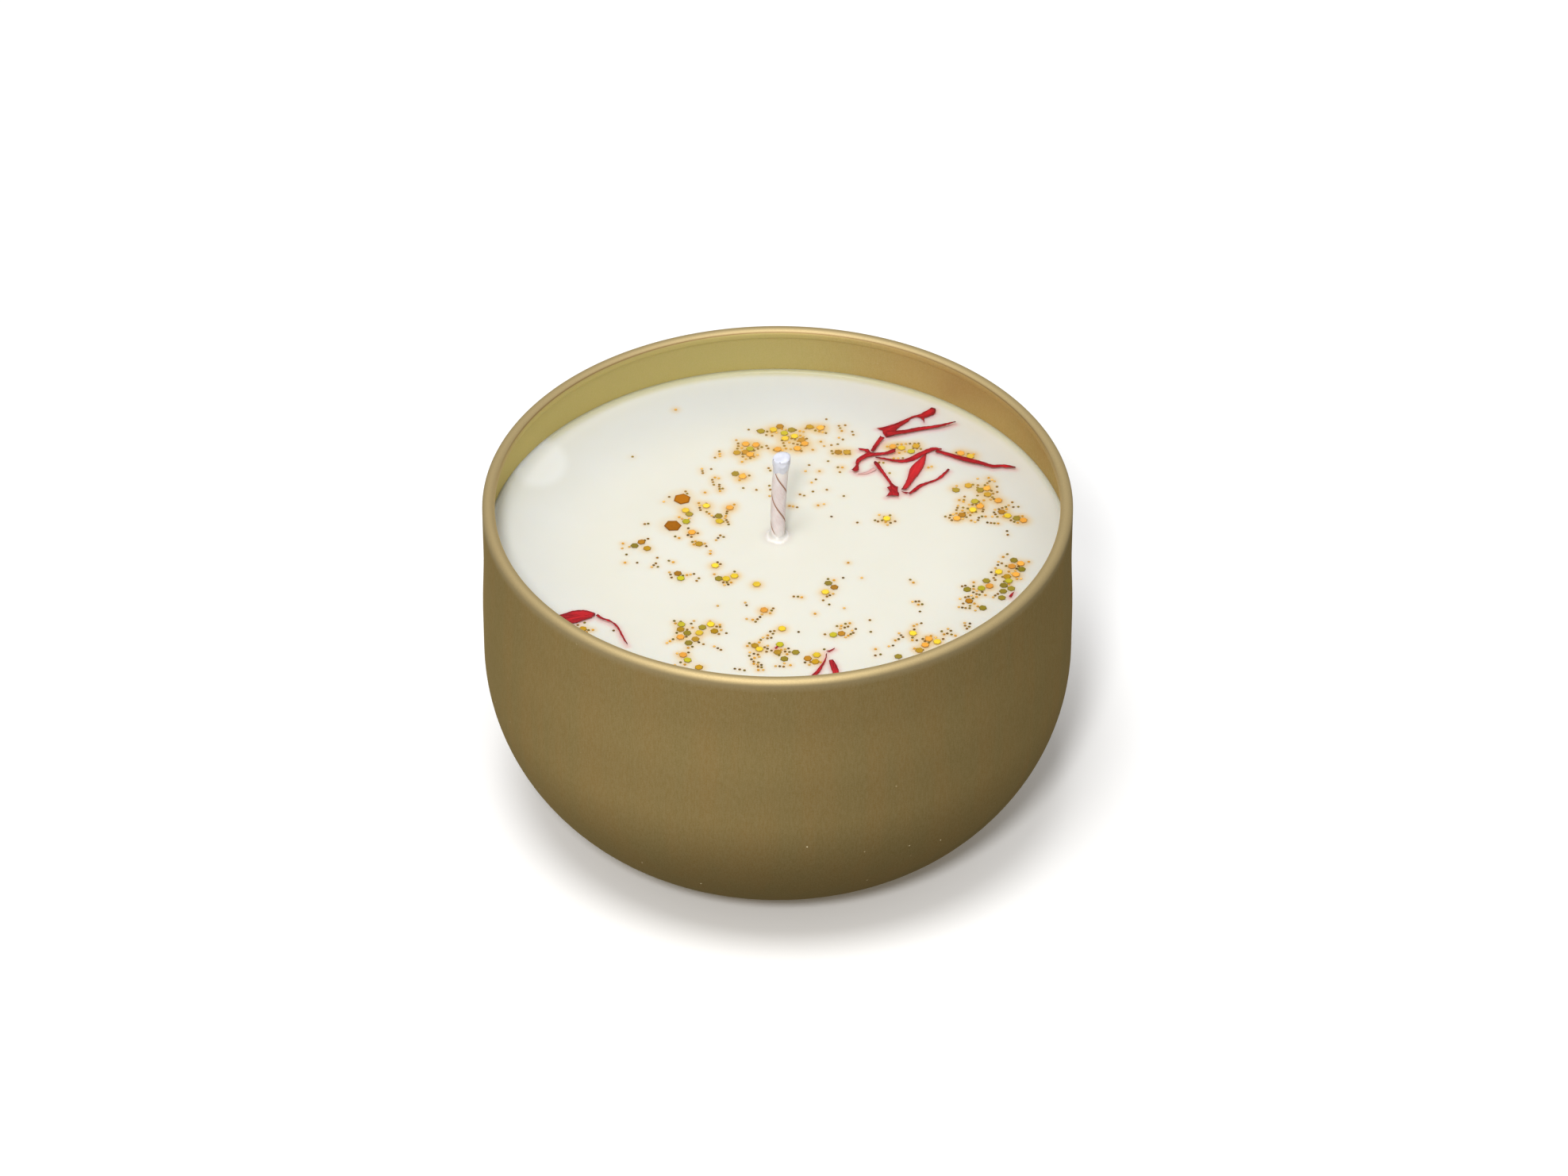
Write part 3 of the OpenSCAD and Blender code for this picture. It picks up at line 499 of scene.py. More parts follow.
# ------------------------------------ the tin
# The bowl's section, as the CAD has it: two arcs, a shoulder up to the neck, and the curl
LOWER_ARC = 22 * MM
UPPER_ARC = 28 * MM
ARC_SPLIT = math.radians(40)
SHOULDER_LOW = 32 * MM
SHOULDER_HIGH = 42 * MM
SHOULDER_STEPS = 12
CURL_R = 0.85 * MM
CURL_AT = (NECK_R - CURL_R, RIM_Z - CURL_R)
CURL_END = math.radians(280)
PANEL_R = 12 * MM
PANEL_LIFT = 0.8 * MM
PANEL_BEND = 0.35 * MM
# Headings of the greenest and the brownest part of the inner wall, a lacquer tone with a painted
# reflection in it, in degrees from +X towards +Y
GREEN_AT = 130
BROWN_AT = 50
# Where the brown line of painted shadow lies round the curl's section, in degrees from straight
# outwards
RIM_LINE = 146


def arc(centre, radius, start, stop, steps):
    """Points (r, z) along a circular arc."""
    angles = [start + (stop - start) * i / steps for i in range(steps + 1)]
    return [(centre[0] + radius * math.cos(a), centre[1] + radius * math.sin(a)) for a in angles]


def bowl_line(inset):
    """The side of the bowl from its foot up to the curl, shrunk by inset."""
    upper = (BODY_R - UPPER_ARC, LOWER_ARC + (UPPER_ARC - LOWER_ARC) * math.sin(ARC_SPLIT))
    lower = (upper[0] + (UPPER_ARC - LOWER_ARC) * math.cos(ARC_SPLIT), LOWER_ARC)
    line = arc(lower, LOWER_ARC - inset, -math.pi / 2, -ARC_SPLIT, 20)
    line += arc(upper, UPPER_ARC - inset, -ARC_SPLIT, 0.0, 16)[1:]
    for i in range(SHOULDER_STEPS + 1):
        t = i / SHOULDER_STEPS
        line.append((BODY_R - inset - (BODY_R - NECK_R) * smooth_step(t),
                     SHOULDER_LOW + (SHOULDER_HIGH - SHOULDER_LOW) * t))
    neck = CURL_AT[1] - SHOULDER_HIGH
    line += [(NECK_R - inset, SHOULDER_HIGH + neck * t) for t in (0.3, 0.6, 0.85)]
    return line


def tin_section():
    """The sheet's whole section, from the axis under the base round to the axis inside."""
    lip = WALL / 2
    end = (CURL_AT[0] + (CURL_R - lip) * math.cos(CURL_END),
           CURL_AT[1] + (CURL_R - lip) * math.sin(CURL_END))
    under = [(PANEL_R * t, PANEL_LIFT) for t in (0.5, 0.9)]
    under += arc((PANEL_R - PANEL_BEND, PANEL_LIFT - PANEL_BEND), PANEL_BEND, math.pi / 2, 0.0, 5)
    under += arc((PANEL_R + PANEL_BEND, PANEL_BEND), PANEL_BEND, -math.pi, -math.pi / 2, 5)
    outer = bowl_line(0.0) + arc(CURL_AT, CURL_R, 0.0, CURL_END, 40)
    outer += arc(end, lip, CURL_END, CURL_END + math.pi, 6)[1:-1]
    inner = arc(CURL_AT, CURL_R - WALL, CURL_END, 0.0, 20) + list(reversed(bowl_line(WALL)))
    step_r = PANEL_R + WALL
    step_z = PANEL_LIFT + WALL
    panel = [(step_r + PANEL_BEND, WALL), (step_r, WALL + PANEL_BEND), (step_r, step_z - PANEL_BEND),
             (step_r - PANEL_BEND, step_z), (PANEL_R * 0.5, step_z)]
    return under + outer + inner + panel


def apart(a, b):
    """Degrees between two headings."""
    return abs((a - b + 180) % 360 - 180)


def tin_colours(points):
    """The share of each special gold at each point.

    Inside the neck the gold is lighter, greener at the back left and browner at the back
    right: a lacquer tone with a painted reflection in it. At the back the wall's colour
    runs up to a thin brown line inside the curl, a painted shadow under the curl.
    """
    shares = {"green_gold_and_painted_reflection": [], "brown_gold_and_painted_reflection": [], "rim_gold": [], "rim_painted_shadow": []}
    for x, y, z in points:
        out = math.hypot(x, y)
        turn = math.degrees(math.atan2(y, x))
        roll = math.degrees(math.atan2(z - CURL_AT[1], out - CURL_AT[0])) % 360
        on_curl = smooth_step((z - (RIM_Z - 1.6 * CURL_R)) / (0.6 * CURL_R))
        at_back = smooth_step(y / (20 * MM))
        lower = smooth_step((roll - RIM_LINE) / 8) * (roll < 300) * at_back if on_curl else 1.0
        inner = smooth_step((NECK_R - 0.5 * WALL - out) / (0.5 * WALL)) * (z > WAX_Z - 1 * MM)
        inner *= lower if on_curl else 1.0
        # The inner wall's green and brown are a lacquer tone with a painted reflection in them
        shares["green_gold_and_painted_reflection"].append(0.9 * inner * smooth_step(1.5 - apart(turn, GREEN_AT) / 55))
        shares["brown_gold_and_painted_reflection"].append(0.7 * inner * smooth_step(1.5 - apart(turn, BROWN_AT) / 20))
        shares["rim_gold"].append(0.8 * on_curl * (1 - lower))
        # A painted shadow: the thin brown line under the curl at the back
        shares["rim_painted_shadow"].append(0.8 * on_curl * at_back * math.exp(-((roll - RIM_LINE) / 6) ** 2))
    return shares


def build_tin(mat):
    """The drawn tin with its curled rim, turned from one section."""
    sides = 256
    section = tin_section()
    points = [(r * math.cos(a), r * math.sin(a), z) for r, z in section for a in around(sides)]
    faces = ring_faces(len(section), sides)
    for row, z in ((0, PANEL_LIFT), (len(section) - 1, PANEL_LIFT + WALL)):
        middle = len(points)
        points.append((0.0, 0.0, z))
        faces += [(row * sides + k, row * sides + (k + 1) % sides, middle)[::1 if row else -1]
                  for k in range(sides)]
    obj = new_mesh("tin_drawn_cup", points, faces, mat)
    for name, shares in tin_colours(points).items():
        point_attribute(obj, name, "FLOAT", shares)
    place(obj, "gold_tinplate", "tin_cup")


# ------------------------------------ the wax surface
def tree_of(points):
    """A search tree over points, by x and y only."""
    made = kdtree.KDTree(len(points))
    for i, p in enumerate(points):
        made.insert((p[0], p[1], 0.0), i)
    made.balance()
    return made


def along(loop, step):
    """Points about every step along a closed outline."""
    points = []
    for a, b in zip(loop, loop[1:] + loop[:1]):
        count = max(1, int((b - a).length / step))
        points += [a.lerp(b, i / count) for i in range(count)]
    return points


petal_points = [p for loops in outlines.values() for loop in loops for p in along(loop, 0.3 * MM)]
petal_near = tree_of(petal_points)
# How strongly the dye of each flake colours the wax round it
GLOW = {"yellow": 0.75, "orange": 0.85, "gold": 0.55, "peach": 0.25, "lime": 0.35, "brown": 0.25,
        "amber": 0.45, "olive": 0.20, "umber": 0.12}
glowing = [(centre, radius, GLOW[n.rsplit("_", 1)[1]])
           for n in GLITTER for centre, radius, _ in flakes[n]]
glowing_near = tree_of([centre for centre, _, _ in glowing])

# No flake's colour reaches further than this
GLOW_REACH = 2.6 * MM
FILLET = wax_high.z - WAX_Z
# Flakes and petals lie this far above the bare wax, which swells round them
CLEAR = 0.02 * MM
# Where the pale bluish patch is, and about half its width and depth
PALE_PATCH_AT = Vector((-32.7, 18.2)) * MM
PALE_PATCH_SIZE = Vector((3.6, 5.0)) * MM
# The meniscus at the wick: radius of its outer edge, and how high it climbs
COLLAR_R = 1.7 * MM
COLLAR_H = 0.5 * MM
# Out to this far from the wick, the wax's rings lie this close together
FINE_REACH = 2.6 * MM
FINE_STEP = 0.05 * MM


def collar_edge(dx, dy):
    """How far the wax collar reaches from the wick, towards dx, dy."""
    out = max(math.hypot(dx, dy), TINY)
    lobe = noise.noise(Vector((dx, dy, 0.0)) / out * 1.3 + Vector((3, 1, 0)))
    ripple = noise.noise(Vector((dx, dy, 0.0)) / out * 4.0)
    return COLLAR_R * (1 + 0.12 * lobe + 0.05 * ripple)


def collar_lip(out, reach):
    """The raised lip just inside the collar's edge, 1 on its crest."""
    return math.exp(-((out - reach + 0.22 * MM) / (0.20 * MM)) ** 2)


def wax_colour_with_painted_light(x, y):
    """Colour of the clean wax, with painted light: painted shade near the back, left and right walls, a
    painted reflection of the gold wall, and painted light along the left wall.
    """
    r = math.hypot(x, y)
    wall_shade_share = smooth_step((r - 22 * MM) / (16 * MM))
    way = Vector((x, y)) / max(r, TINY)
    back, left, right = max(0.0, way.y), max(0.0, -way.x), max(0.0, way.x)
    tint = WHITE
    # Painted shade: cooler and darker near the back, left and right walls
    for share, colour in ((back, (0.85, 0.90, 1.05)), (left, (0.91, 0.94, 1.02)),
                          (right, (0.88, 0.89, 0.93))):
        tint = tint.lerp(Vector(colour), wall_shade_share * share ** 1.5)
    # Painted reflection of the gold wall in the last of the wax, the more so at the back
    reach = (0.6 + 1.0 * back) * MM
    wall_reflection_share = smooth_step((r - (WAX_EDGE - reach)) / reach)
    tint = tint.lerp(Vector((0.70, 0.65, 0.36)), (0.25 + 0.6 * back) * wall_reflection_share)
    # Painted light: the wax is brightened along the left wall, where the wall shades it
    return tint * (1 + 0.14 * left * smooth_step((r - (WAX_EDGE - 3 * MM)) / (3 * MM)))


def wax_height(x, y):
    """Height of the wax surface, without what lies on it."""
    r = math.hypot(x, y)
    climb = clamp((r - (WAX_EDGE - FILLET)) / FILLET)
    z = WAX_Z + 0.6 * FILLET * (1 - math.sqrt(max(0.0, 1 - climb * climb)))
    dx, dy = x - WICK_FOOT.x, y - WICK_FOOT.y
    out = math.hypot(dx, dy)
    if out < 4 * MM:
        reach = collar_edge(dx, dy)
        z += COLLAR_H * math.exp(-max(0.0, out - 0.95 * MM) / (0.28 * MM))
        z += 0.10 * MM * smooth_step((reach - out) / (0.25 * MM))
        z += 0.03 * MM * collar_lip(out, reach)
    p = Vector((x, y, 0.0)) / MM
    z += 0.035 * MM * noise.noise(p / 11) + 0.010 * MM * noise.noise(p / 2.7)
    return z


def wax_top_rings(sides, far_rings):
    """Rings round the wick, fine at its collar and reaching out to the tin's wall."""
    foot = Vector((WICK_FOOT.x, WICK_FOOT.y, 0.0))
    rays = []
    for a in around(sides):
        way = Vector((math.cos(a), math.sin(a), 0.0))
        lead = foot.dot(way)
        rays.append((way, math.sqrt(WAX_EDGE ** 2 - foot.length_squared + lead ** 2) - lead))
    near = [0.3 * MM, 0.6 * MM]
    while near[-1] < FINE_REACH:
        near.append(near[-1] + FINE_STEP if near[-1] > 0.8 * MM else 0.85 * MM)
    rings = [[foot + way * r for way, _ in rays] for r in near]
    for i in range(1, far_rings + 1):
        t = (i / far_rings) ** 0.92
        rings.append([foot + way * (near[-1] + (edge - near[-1]) * t) for way, edge in rays])
    return foot, rings


def wax_stain_and_painted_light(p):
    """Colour of the wax at a point, with its stains, painted shade and painted highlight, and how much
    it swells: (colour, rise).
    """
    pink = clamp(math.exp(-(petal_near.find((p.x, p.y, 0))[2] / (0.42 * MM)) ** 2))
    wider = 1 + 0.3 * smooth_step(p.y / (14 * MM))
    clear, bare = 1.0, 1.0
    for _, i, d in glowing_near.find_range((p.x, p.y, 0), GLOW_REACH):
        _, size, glow = glowing[i]
        reach = (0.34 * MM + 0.65 * size) * wider
        clear *= 1 - glow * math.exp(-(max(0.0, d - 0.6 * size) / reach) ** 2)
        bare *= 1 - 0.5 * math.exp(-(d / size) ** 4)
    colour = wax_colour_with_painted_light(p.x, p.y)
    # Painted shade: the wax is greyer near the wick, and more so in its collar
    dx, dy = p.x - WICK_FOOT.x, p.y - WICK_FOOT.y
    out = math.hypot(dx, dy)
    edge = collar_edge(dx, dy)
    colour = colour.lerp(Vector((0.93, 0.90, 0.92)), smooth_step((2.8 * MM - out) / (1.2 * MM)))
    colour = colour.lerp(Vector((0.90, 0.87, 0.90)), smooth_step((edge - out) / (0.35 * MM)))
    # A painted highlight along the collar's lip, then the colour round flakes and petals
    washes = (((1.20, 1.21, 1.26), collar_lip(out, edge)), ((1.03, 0.71, 0.32), 1 - clear),
              ((1.0, 0.42, 0.46), 0.5 * pink))
    for wash, share in washes:
        colour = Vector(a * b for a, b in zip(colour, WHITE.lerp(Vector(wash), share)))
    # A paler, bluish patch at the back left
    away = math.hypot((p.x - PALE_PATCH_AT.x) / PALE_PATCH_SIZE.x, (p.y - PALE_PATCH_AT.y) / PALE_PATCH_SIZE.y)
    colour = colour.lerp(Vector((1.05, 1.09, 1.22)), 0.8 * smooth_step((1.3 - away) / 0.5))
    return colour, 0.05 * MM * pink + 0.03 * MM * (1 - bare)


def wax_profile():
    """The CAD wax below its top: its widest radius at each height, from the top down."""
    widest = {}
    for v in frame["nodes"]["wax_fill"].data.vertices:
        level = round(v.co.z / MM)
        r = math.hypot(v.co.x, v.co.y)
        if level not in widest or r > widest[level][0]:
            widest[level] = (r, v.co.z)
    return [widest[k] for k in sorted(widest, reverse=True) if widest[k][1] < WAX_Z - 0.6 * MM]


def build_wax(mat):
    """The wax: a finely ringed top and its buried sides and base, as one closed mesh."""
    sides = 640
    foot, rings = wax_top_rings(sides, 110)
    points = [foot] + [p for ring in rings for p in ring]
    # Each point's colour holds its stains and its painted shade, highlight and reflection
    stain_and_painted_light = []
    for p in points:
        colour, rise = wax_stain_and_painted_light(p)
        p.z = wax_height(p.x, p.y) + rise
        stain_and_painted_light.append((*colour, 1.0))
    ways = [Vector((p.x, p.y, 0.0)).normalized() for p in rings[-1]]
    profile = wax_profile()
    for r, z in profile:
        points += [way * r + Vector((0, 0, z)) for way in ways]
    points.append(Vector((0, 0, profile[-1][1])))
    middle = len(points) - 1
    last_ring = middle - sides
    # The rings go outwards and down, so their faces are turned round to look out of the wax
    skin = ring_faces(len(rings) + len(profile), sides, 1)
    skin += [(last_ring + k, middle, last_ring + (k + 1) % sides) for k in range(sides)]
    faces = [(0, 1 + k, 1 + (k + 1) % sides) for k in range(sides)]
    faces += [tuple(reversed(f)) for f in skin]
    obj = new_mesh("wax_pour", points, faces, mat)
    stain_and_painted_light += [(1, 1, 1, 1)] * (len(points) - len(stain_and_painted_light))
    point_attribute(obj, "stain_and_painted_light", "FLOAT_COLOR", stain_and_painted_light)
    place(obj, "wax", "wax_fill")


# ------------------------------------ glitter
# From centre to corner, fine flakes are under the first size and large ones over the second.
# The large ones don't look sunk
FINE_R = 0.4 * MM
LARGE_R = 1 * MM
# The CAD's layers of flakes lie this far apart, and here each one is raised this much
CAD_LAYER = 0.1 * MM
LAYER_LIFT = (0.00, 0.035, 0.085)


def build_glitter(node, mat, rng):
    """All flakes of one colour: bevelled hexagons, each with its own tilt and tone."""
    points, faces, tones, edges, sunk = [], [], [], [], []
    for centre, radius, turn in flakes[node]:
        fine = radius < FINE_R
        thick = 0.05 * MM if fine else 0.07 * MM
        bevel = 0.012 * MM if fine else 0.03 * MM
        layer = round((centre.z - WAX_Z) / CAD_LAYER)
        lift = LAYER_LIFT[min(layer, 2)] * MM
        tilt = math.radians(rng.uniform(0, 7 if fine else 4))
        heading = rng.uniform(0, 2 * math.pi)
        lean = Matrix.Rotation(tilt, 3, Vector((math.cos(heading), math.sin(heading), 0)))
        base = Vector((centre.x, centre.y, wax_height(centre.x, centre.y) + CLEAR + lift))
        tone = rng.random()
        # The further back a flake lies, the more it looks sunk in the wax
        depth = 0.16 * smooth_step((centre.y - 2 * MM) / (12 * MM)) + rng.uniform(0, 0.12)
        depth *= radius < LARGE_R
        first = len(points)
        rows = ((bevel, 0.0, 1.0), (0.0, bevel, 1.0), (0.0, thick - bevel, 1.0), (bevel, thick, 0.8),
                (0.26 * radius, thick, 0.0))
        for inset, height, edge in rows:
            for k in range(6):
                a = turn + k * math.pi / 3
                r = radius - inset
                points.append(base + lean @ Vector((r * math.cos(a), r * math.sin(a), height)))
                tones.append(tone)
                edges.append(edge)
                sunk.append(depth)
        faces += ring_faces(len(rows), 6, first)
        faces.append(tuple(first + k for k in reversed(range(6))))
        faces.append(tuple(first + 6 * (len(rows) - 1) + k for k in range(6)))
    obj = new_mesh(node + "_film", points, faces, mat)
    obj.data.shade_flat()
    for name, values in (("tone", tones), ("edge", edges), ("sunk", sunk)):
        point_attribute(obj, name, "FLOAT", values)
    slot = next(s["material_slot"] for s in frame["record"]["subparts"] if s["node"] == node)
    place(obj, slot, node)


# ------------------------------------ petals
# A corner that turns by more than this is a torn tip
TIP_TURN = math.radians(50)


def rounded(loop):
    """Cuts the blunt corners of a closed outline, and keeps the sharp ones as torn tips."""
    made = []
    for i, here in enumerate(loop):
        before, after = loop[i - 1], loop[(i + 1) % len(loop)]
        if (here - before).angle(after - here) > TIP_TURN:
            made.append(here)
        else:
            made += [here.lerp(before, 0.25), here.lerp(after, 0.25)]
    return made


def edge_distance(points, loop):
    """Distance from each point to a closed outline."""
    a = np.array([p[:2] for p in loop])
    b = np.roll(a, -1, axis=0)
    ab = b - a
    size = (ab ** 2).sum(1)
    found = []
    for p in points:
        t = np.clip(((np.array(p[:2]) - a) * ab).sum(1) / size, 0, 1)
        found.append(np.sqrt(((a + ab * t[:, None] - np.array(p[:2])) ** 2).sum(1)).min())
    return np.array(found)


def inside(point, loop):
    """Whether a point lies inside a closed outline."""
    hit = False
    for a, b in zip(loop, loop[1:] + loop[:1]):
        if (a.y > point[1]) != (b.y > point[1]):
            if point[0] < (b.x - a.x) * (point[1] - a.y) / (b.y - a.y) + a.x:
                hit = not hit
    return hit


def ragged_outline(loop):
    """The rounded outline in short steps, each point shaken a little."""
    ragged = []
    for p in along(rounded(rounded(loop)), 0.12 * MM):
        shake = noise.noise_vector(Vector((p.x, p.y, 0)) / (0.35 * MM)) * 0.07 * MM
        ragged.append(Vector((p.x + shake.x, p.y + shake.y, 0.0)))
    return ragged


def inner_points(outline, rng):
    """A loose triangular grid of points inside an outline, clear of its edge."""
    low = Vector((min(p.x for p in outline), min(p.y for p in outline)))
    high = Vector((max(p.x for p in outline), max(p.y for p in outline)))
    step = 0.16 * MM
    row, loose = 0.87, 0.15
    field = []
    for j in range(int((high.y - low.y) / (step * row)) + 1):
        for i in range(int((high.x - low.x) / step) + 2):
            x = low.x + (i + 0.5 * (j % 2) + rng.uniform(-loose, loose)) * step
            y = low.y + (j + rng.uniform(-loose, loose)) * step * row
            if inside((x, y), outline):
                field.append((x, y))
    if not field:
        return []
    far = edge_distance(field, outline)
    return [Vector(f) for f, d in zip(field, far) if d > 0.07 * MM]


def own_axes(flat):
    """Each point's place along the petal and across it, from its middle."""
    cloud = np.array([(p.x, p.y) for p in flat])
    cloud = cloud - cloud.mean(0)
    _, _, axes = np.linalg.svd(cloud, full_matrices=False)
    return cloud @ axes[0], cloud @ axes[1]


def sheet_faces(flat, triangles):
    """Faces of a closed thin sheet: its upper side, its lower side and the edge between."""
    count = len(flat)
    faces = []
    # A dictionary keeps the edges in the order they come in
    edges = {}
    for a, b, c in triangles:
        if (flat[b] - flat[a]).cross(flat[c] - flat[a]) < 0:
            b, c = c, b
        faces += [(a, b, c), (count + a, count + c, count + b)]
        edges.update(dict.fromkeys(((a, b), (b, c), (c, a))))
    return faces + [(a, count + a, count + b, b) for a, b in edges if (b, a) not in edges]


def petal_sheet(loop, base_z, rng):
    """One curled, thin-edged petal over an outline: (points, faces, lay, ends)."""
    ragged = ragged_outline(loop)
    flat = [Vector((p.x, p.y)) for p in ragged] + inner_points(ragged, rng)
    rim = len(ragged)
    edges = [(i, (i + 1) % rim) for i in range(rim)]
    flat, _, triangles, *_ = geometry.delaunay_2d_cdt(flat, edges, [], 1, 0.001 * TINY)
    deep = edge_distance([(p.x, p.y) for p in flat], ragged)
    deepest = max(deep.max(), TINY)
    u, v = own_axes(flat)
    reach = max(TINY, np.abs(u).max())
    bend = rng.uniform(0.6, 1.0)
    phase = rng.uniform(0, 6.28)
    upper, lower, lay, ends = [], [], [], []
    for p, d, uu, vv in zip(flat, deep, u, v):
        share = clamp(d / deepest)
        # The sheet curls up at its edge and its ends, and ripples along and across
        curl = bend * 0.16 * MM * (1 - share) ** 1.5
        ripple = 0.09 * MM * math.sin(uu / (1.3 * MM) + phase) + 0.05 * MM * math.sin(vv / (0.35 * MM))
        rise = 0.14 * MM * (uu / reach) ** 2
        z = base_z + wax_height(p.x, p.y) + CLEAR + curl + max(0.0, 0.05 * MM + ripple) * 0.7 + rise
        thick = (0.03 + 0.09 * share) * MM
        upper.append(Vector((p.x, p.y, z + thick)))
        lower.append(Vector((p.x, p.y, z)))
        lay.append((uu / MM, vv / MM, d / MM))
        ends.append(smooth_step((abs(uu) / reach - 0.78) / 0.3) * 0.7 + 0.5 * (1 - share) ** 3)
    return upper + lower, sheet_faces(flat, triangles), lay + lay, ends + ends


# Share of the CAD's height above the wax that a petal keeps
LAYER_SHARE = 0.55
# How much paler or brighter than the rest these petals are
PALE = {"petal_pale_strand": 0.75}
BRIGHT = {"petal_leaf": 0.6}


def build_petal(node, mat, rng):
    """One dried petal, or a node's torn bits, as closed curled sheets."""
    points, faces, lay, ends = [], [], [], []
    layer = (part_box(node)[0].z - WAX_Z) * LAYER_SHARE
    for loop in outlines[node]:
        sheet_points, sheet, sheet_lay, sheet_ends = petal_sheet(loop, layer, rng)
        start = len(points)
        points += sheet_points
        faces += [tuple(start + i for i in face) for face in sheet]
        lay += sheet_lay
        ends += sheet_ends
    obj = new_mesh(node + "_dried", points, faces, mat)
    point_attribute(obj, "lay", "FLOAT_VECTOR", lay)
    point_attribute(obj, "ends", "FLOAT", ends)
    point_attribute(obj, "pale", "FLOAT", [PALE.get(node, 0.0)] * len(points))
    point_attribute(obj, "bright", "FLOAT", [BRIGHT.get(node, 0.0)] * len(points))
    place(obj, "petal", node)


# ------------------------------------ wick
wick_axis = (WICK_TIP - WICK_FOOT).normalized()
wick_side = Vector((1, 0, 0)) - wick_axis * wick_axis.x
wick_side.normalize()
wick_back = wick_axis.cross(wick_side)
WICK_LENGTH = (WICK_TIP - WICK_FOOT).length
BASE_R = 0.98 * MM
END_R = 1.07 * MM
# The coat's foot and end, above the wax
COAT_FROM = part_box("wick_cap")[0].z - WAX_Z
COAT_TO = CAP_TIP.z - WAX_Z - 0.35 * MM
COAT_R = END_R + 0.14 * MM
PITCH = 9.6 * MM
# Two threads, and one of them crosses the front of the wick this far above the wax
THREADS = 2
THREAD_FRONT = 5.05 * MM
THREAD_R = 0.085 * MM
GROOVE = 0.085 * MM


def thread_angle(s):
    """Where the marker thread is round the wick, at distance s above the wax."""
    return -math.pi / 2 - 2 * math.pi * (s - THREAD_FRONT) / PITCH


def wick_point(s, angle, r):
    """The point at height s above the wax along the wick, r from its axis at this angle."""
    # The free length sags a little to the side, like a soft cord
    bow = 0.14 * MM * math.sin(math.pi * clamp(s / WICK_LENGTH))
    return (WICK_FOOT + wick_axis * s - wick_side * bow
            + wick_side * (r * math.cos(angle)) + wick_back * (r * math.sin(angle)))


def wick_radius(s, angle):
    """The cotton's radius at height s along the wick, at this angle."""
    share = clamp(s / WICK_LENGTH)
    r = BASE_R + (END_R - BASE_R) * share
    r *= 1 + 0.03 * noise.noise(Vector((math.cos(angle), math.sin(angle), s / (1.6 * MM))))
    # Two plies, with a groove between them at each thread
    part = 2 * math.pi / THREADS
    turn = (angle - thread_angle(s) + part / 2) % part - part / 2
    return r - GROOVE * math.exp(-(turn / 0.22) ** 2)


def build_core(mat):
    """The twisted cotton, from inside the wax to a little short of its coat's blunt end."""
    sides, rows = 96, 190
    buried = 2.0 * MM
    free = WICK_LENGTH - 0.5 * MM
    # Wax has soaked this far up from the foot, and this far down from the coat
    foot_soak, coat_soak = 2.4 * MM, 1.6 * MM
    rings, lay, soak = [], [], []
    for i in range(rows):
        s = -buried + (free + buried) * i / (rows - 1)
        wet = 0.75 * smooth_step((foot_soak - s) / foot_soak)
        wet += 0.7 * smooth_step((s - COAT_FROM + coat_soak) / coat_soak)
        ring = []
        for a in around(sides):
            ring.append(wick_point(s, a, wick_radius(max(0.0, s), a)))
            across = ((a - thread_angle(s)) % (2 * math.pi)) * BASE_R
            lay.append((across * 0.9 / MM, s / MM, 0.0))
            soak.append(wet)
        rings.append(ring)
    core = tube(rings, sides, "wick_twisted_core", mat)
    point_attribute(core, "lay", "FLOAT_VECTOR", lay + [(0, 0, 0)] * 2)
    point_attribute(core, "soak", "FLOAT", soak + [0.0] * 2)
    place(core, "wick_cotton", "wick_core")


def build_threads(mat):
    """The marker threads in their grooves, thinner at both ends."""
    sides, rows = 10, 180
    start, stop = 0.9 * MM, COAT_FROM + 0.3 * MM
    step = 0.02 * MM
    for index in range(THREADS):
        rings = []
        for i in range(rows):
            t = i / (rows - 1)
            s = start + (stop - start) * t
            a, b = (thread_angle(h) + index * 2 * math.pi / THREADS for h in (s, s + step))
            middle = wick_point(s, a, wick_radius(s, a) + 0.015 * MM)
            out = (middle - wick_point(s, a, 0)).normalized()
            ahead = (wick_point(s + step, b, 1 * MM) - wick_point(s, a, 1 * MM)).normalized()
            over = out.cross(ahead)
            thin = THREAD_R * (0.25 + 0.75 * smooth_step(min(t, 1 - t) * 14))
            thin *= 1 + 0.12 * noise.noise(Vector((t * 60, index, 0)))
            rings.append([middle + out * thin * 0.7 * math.cos(c) + over * thin * 1.15 * math.sin(c)
                          for c in around(sides)])
        line = tube(rings, sides, f"wick_marker_thread_{index + 1}", mat)
        place(line, "wick_thread", "wick_thread")


def coat_shape(t, a):
    """Height and radius of the coat at angle a, for t from 0 at its foot to 1 at its end."""
    rounding = 0.45 * MM
    drip = 0.15 * MM * noise.noise(Vector((1.7 * math.cos(a), 1.7 * math.sin(a), 4.0)))
    s = COAT_FROM + drip * (1 - t) + (COAT_TO - COAT_FROM - 0.02 * MM) * t
    # A blunt end with rounded edges, a shallow dip in it and a nick at the right
    dome = clamp((s - (COAT_TO - rounding)) / rounding)
    r = COAT_R * math.sqrt(max(0.0, 1 - dome ** 3.4)) + 0.01 * MM
    r -= (COAT_R - END_R + 0.04 * MM) * (1 - smooth_step(t * 1.5))
    lump = noise.noise(Vector((math.cos(a), math.sin(a), s / (0.9 * MM))) * 1.4)
    r *= 1 + 0.06 * lump * smooth_step(t * 4)
    nick = math.exp(-((a - 5.9) / 0.30) ** 2) * math.exp(-((s - COAT_TO + 0.7 * MM) / (0.35 * MM)) ** 2)
    r -= 0.22 * MM * nick
    tilt = 0.28 * MM * math.cos(a - 0.3) * dome
    tilt -= 0.05 * MM * smooth_step((0.75 * COAT_R - r) / (0.6 * COAT_R)) * dome
    return s + tilt, r


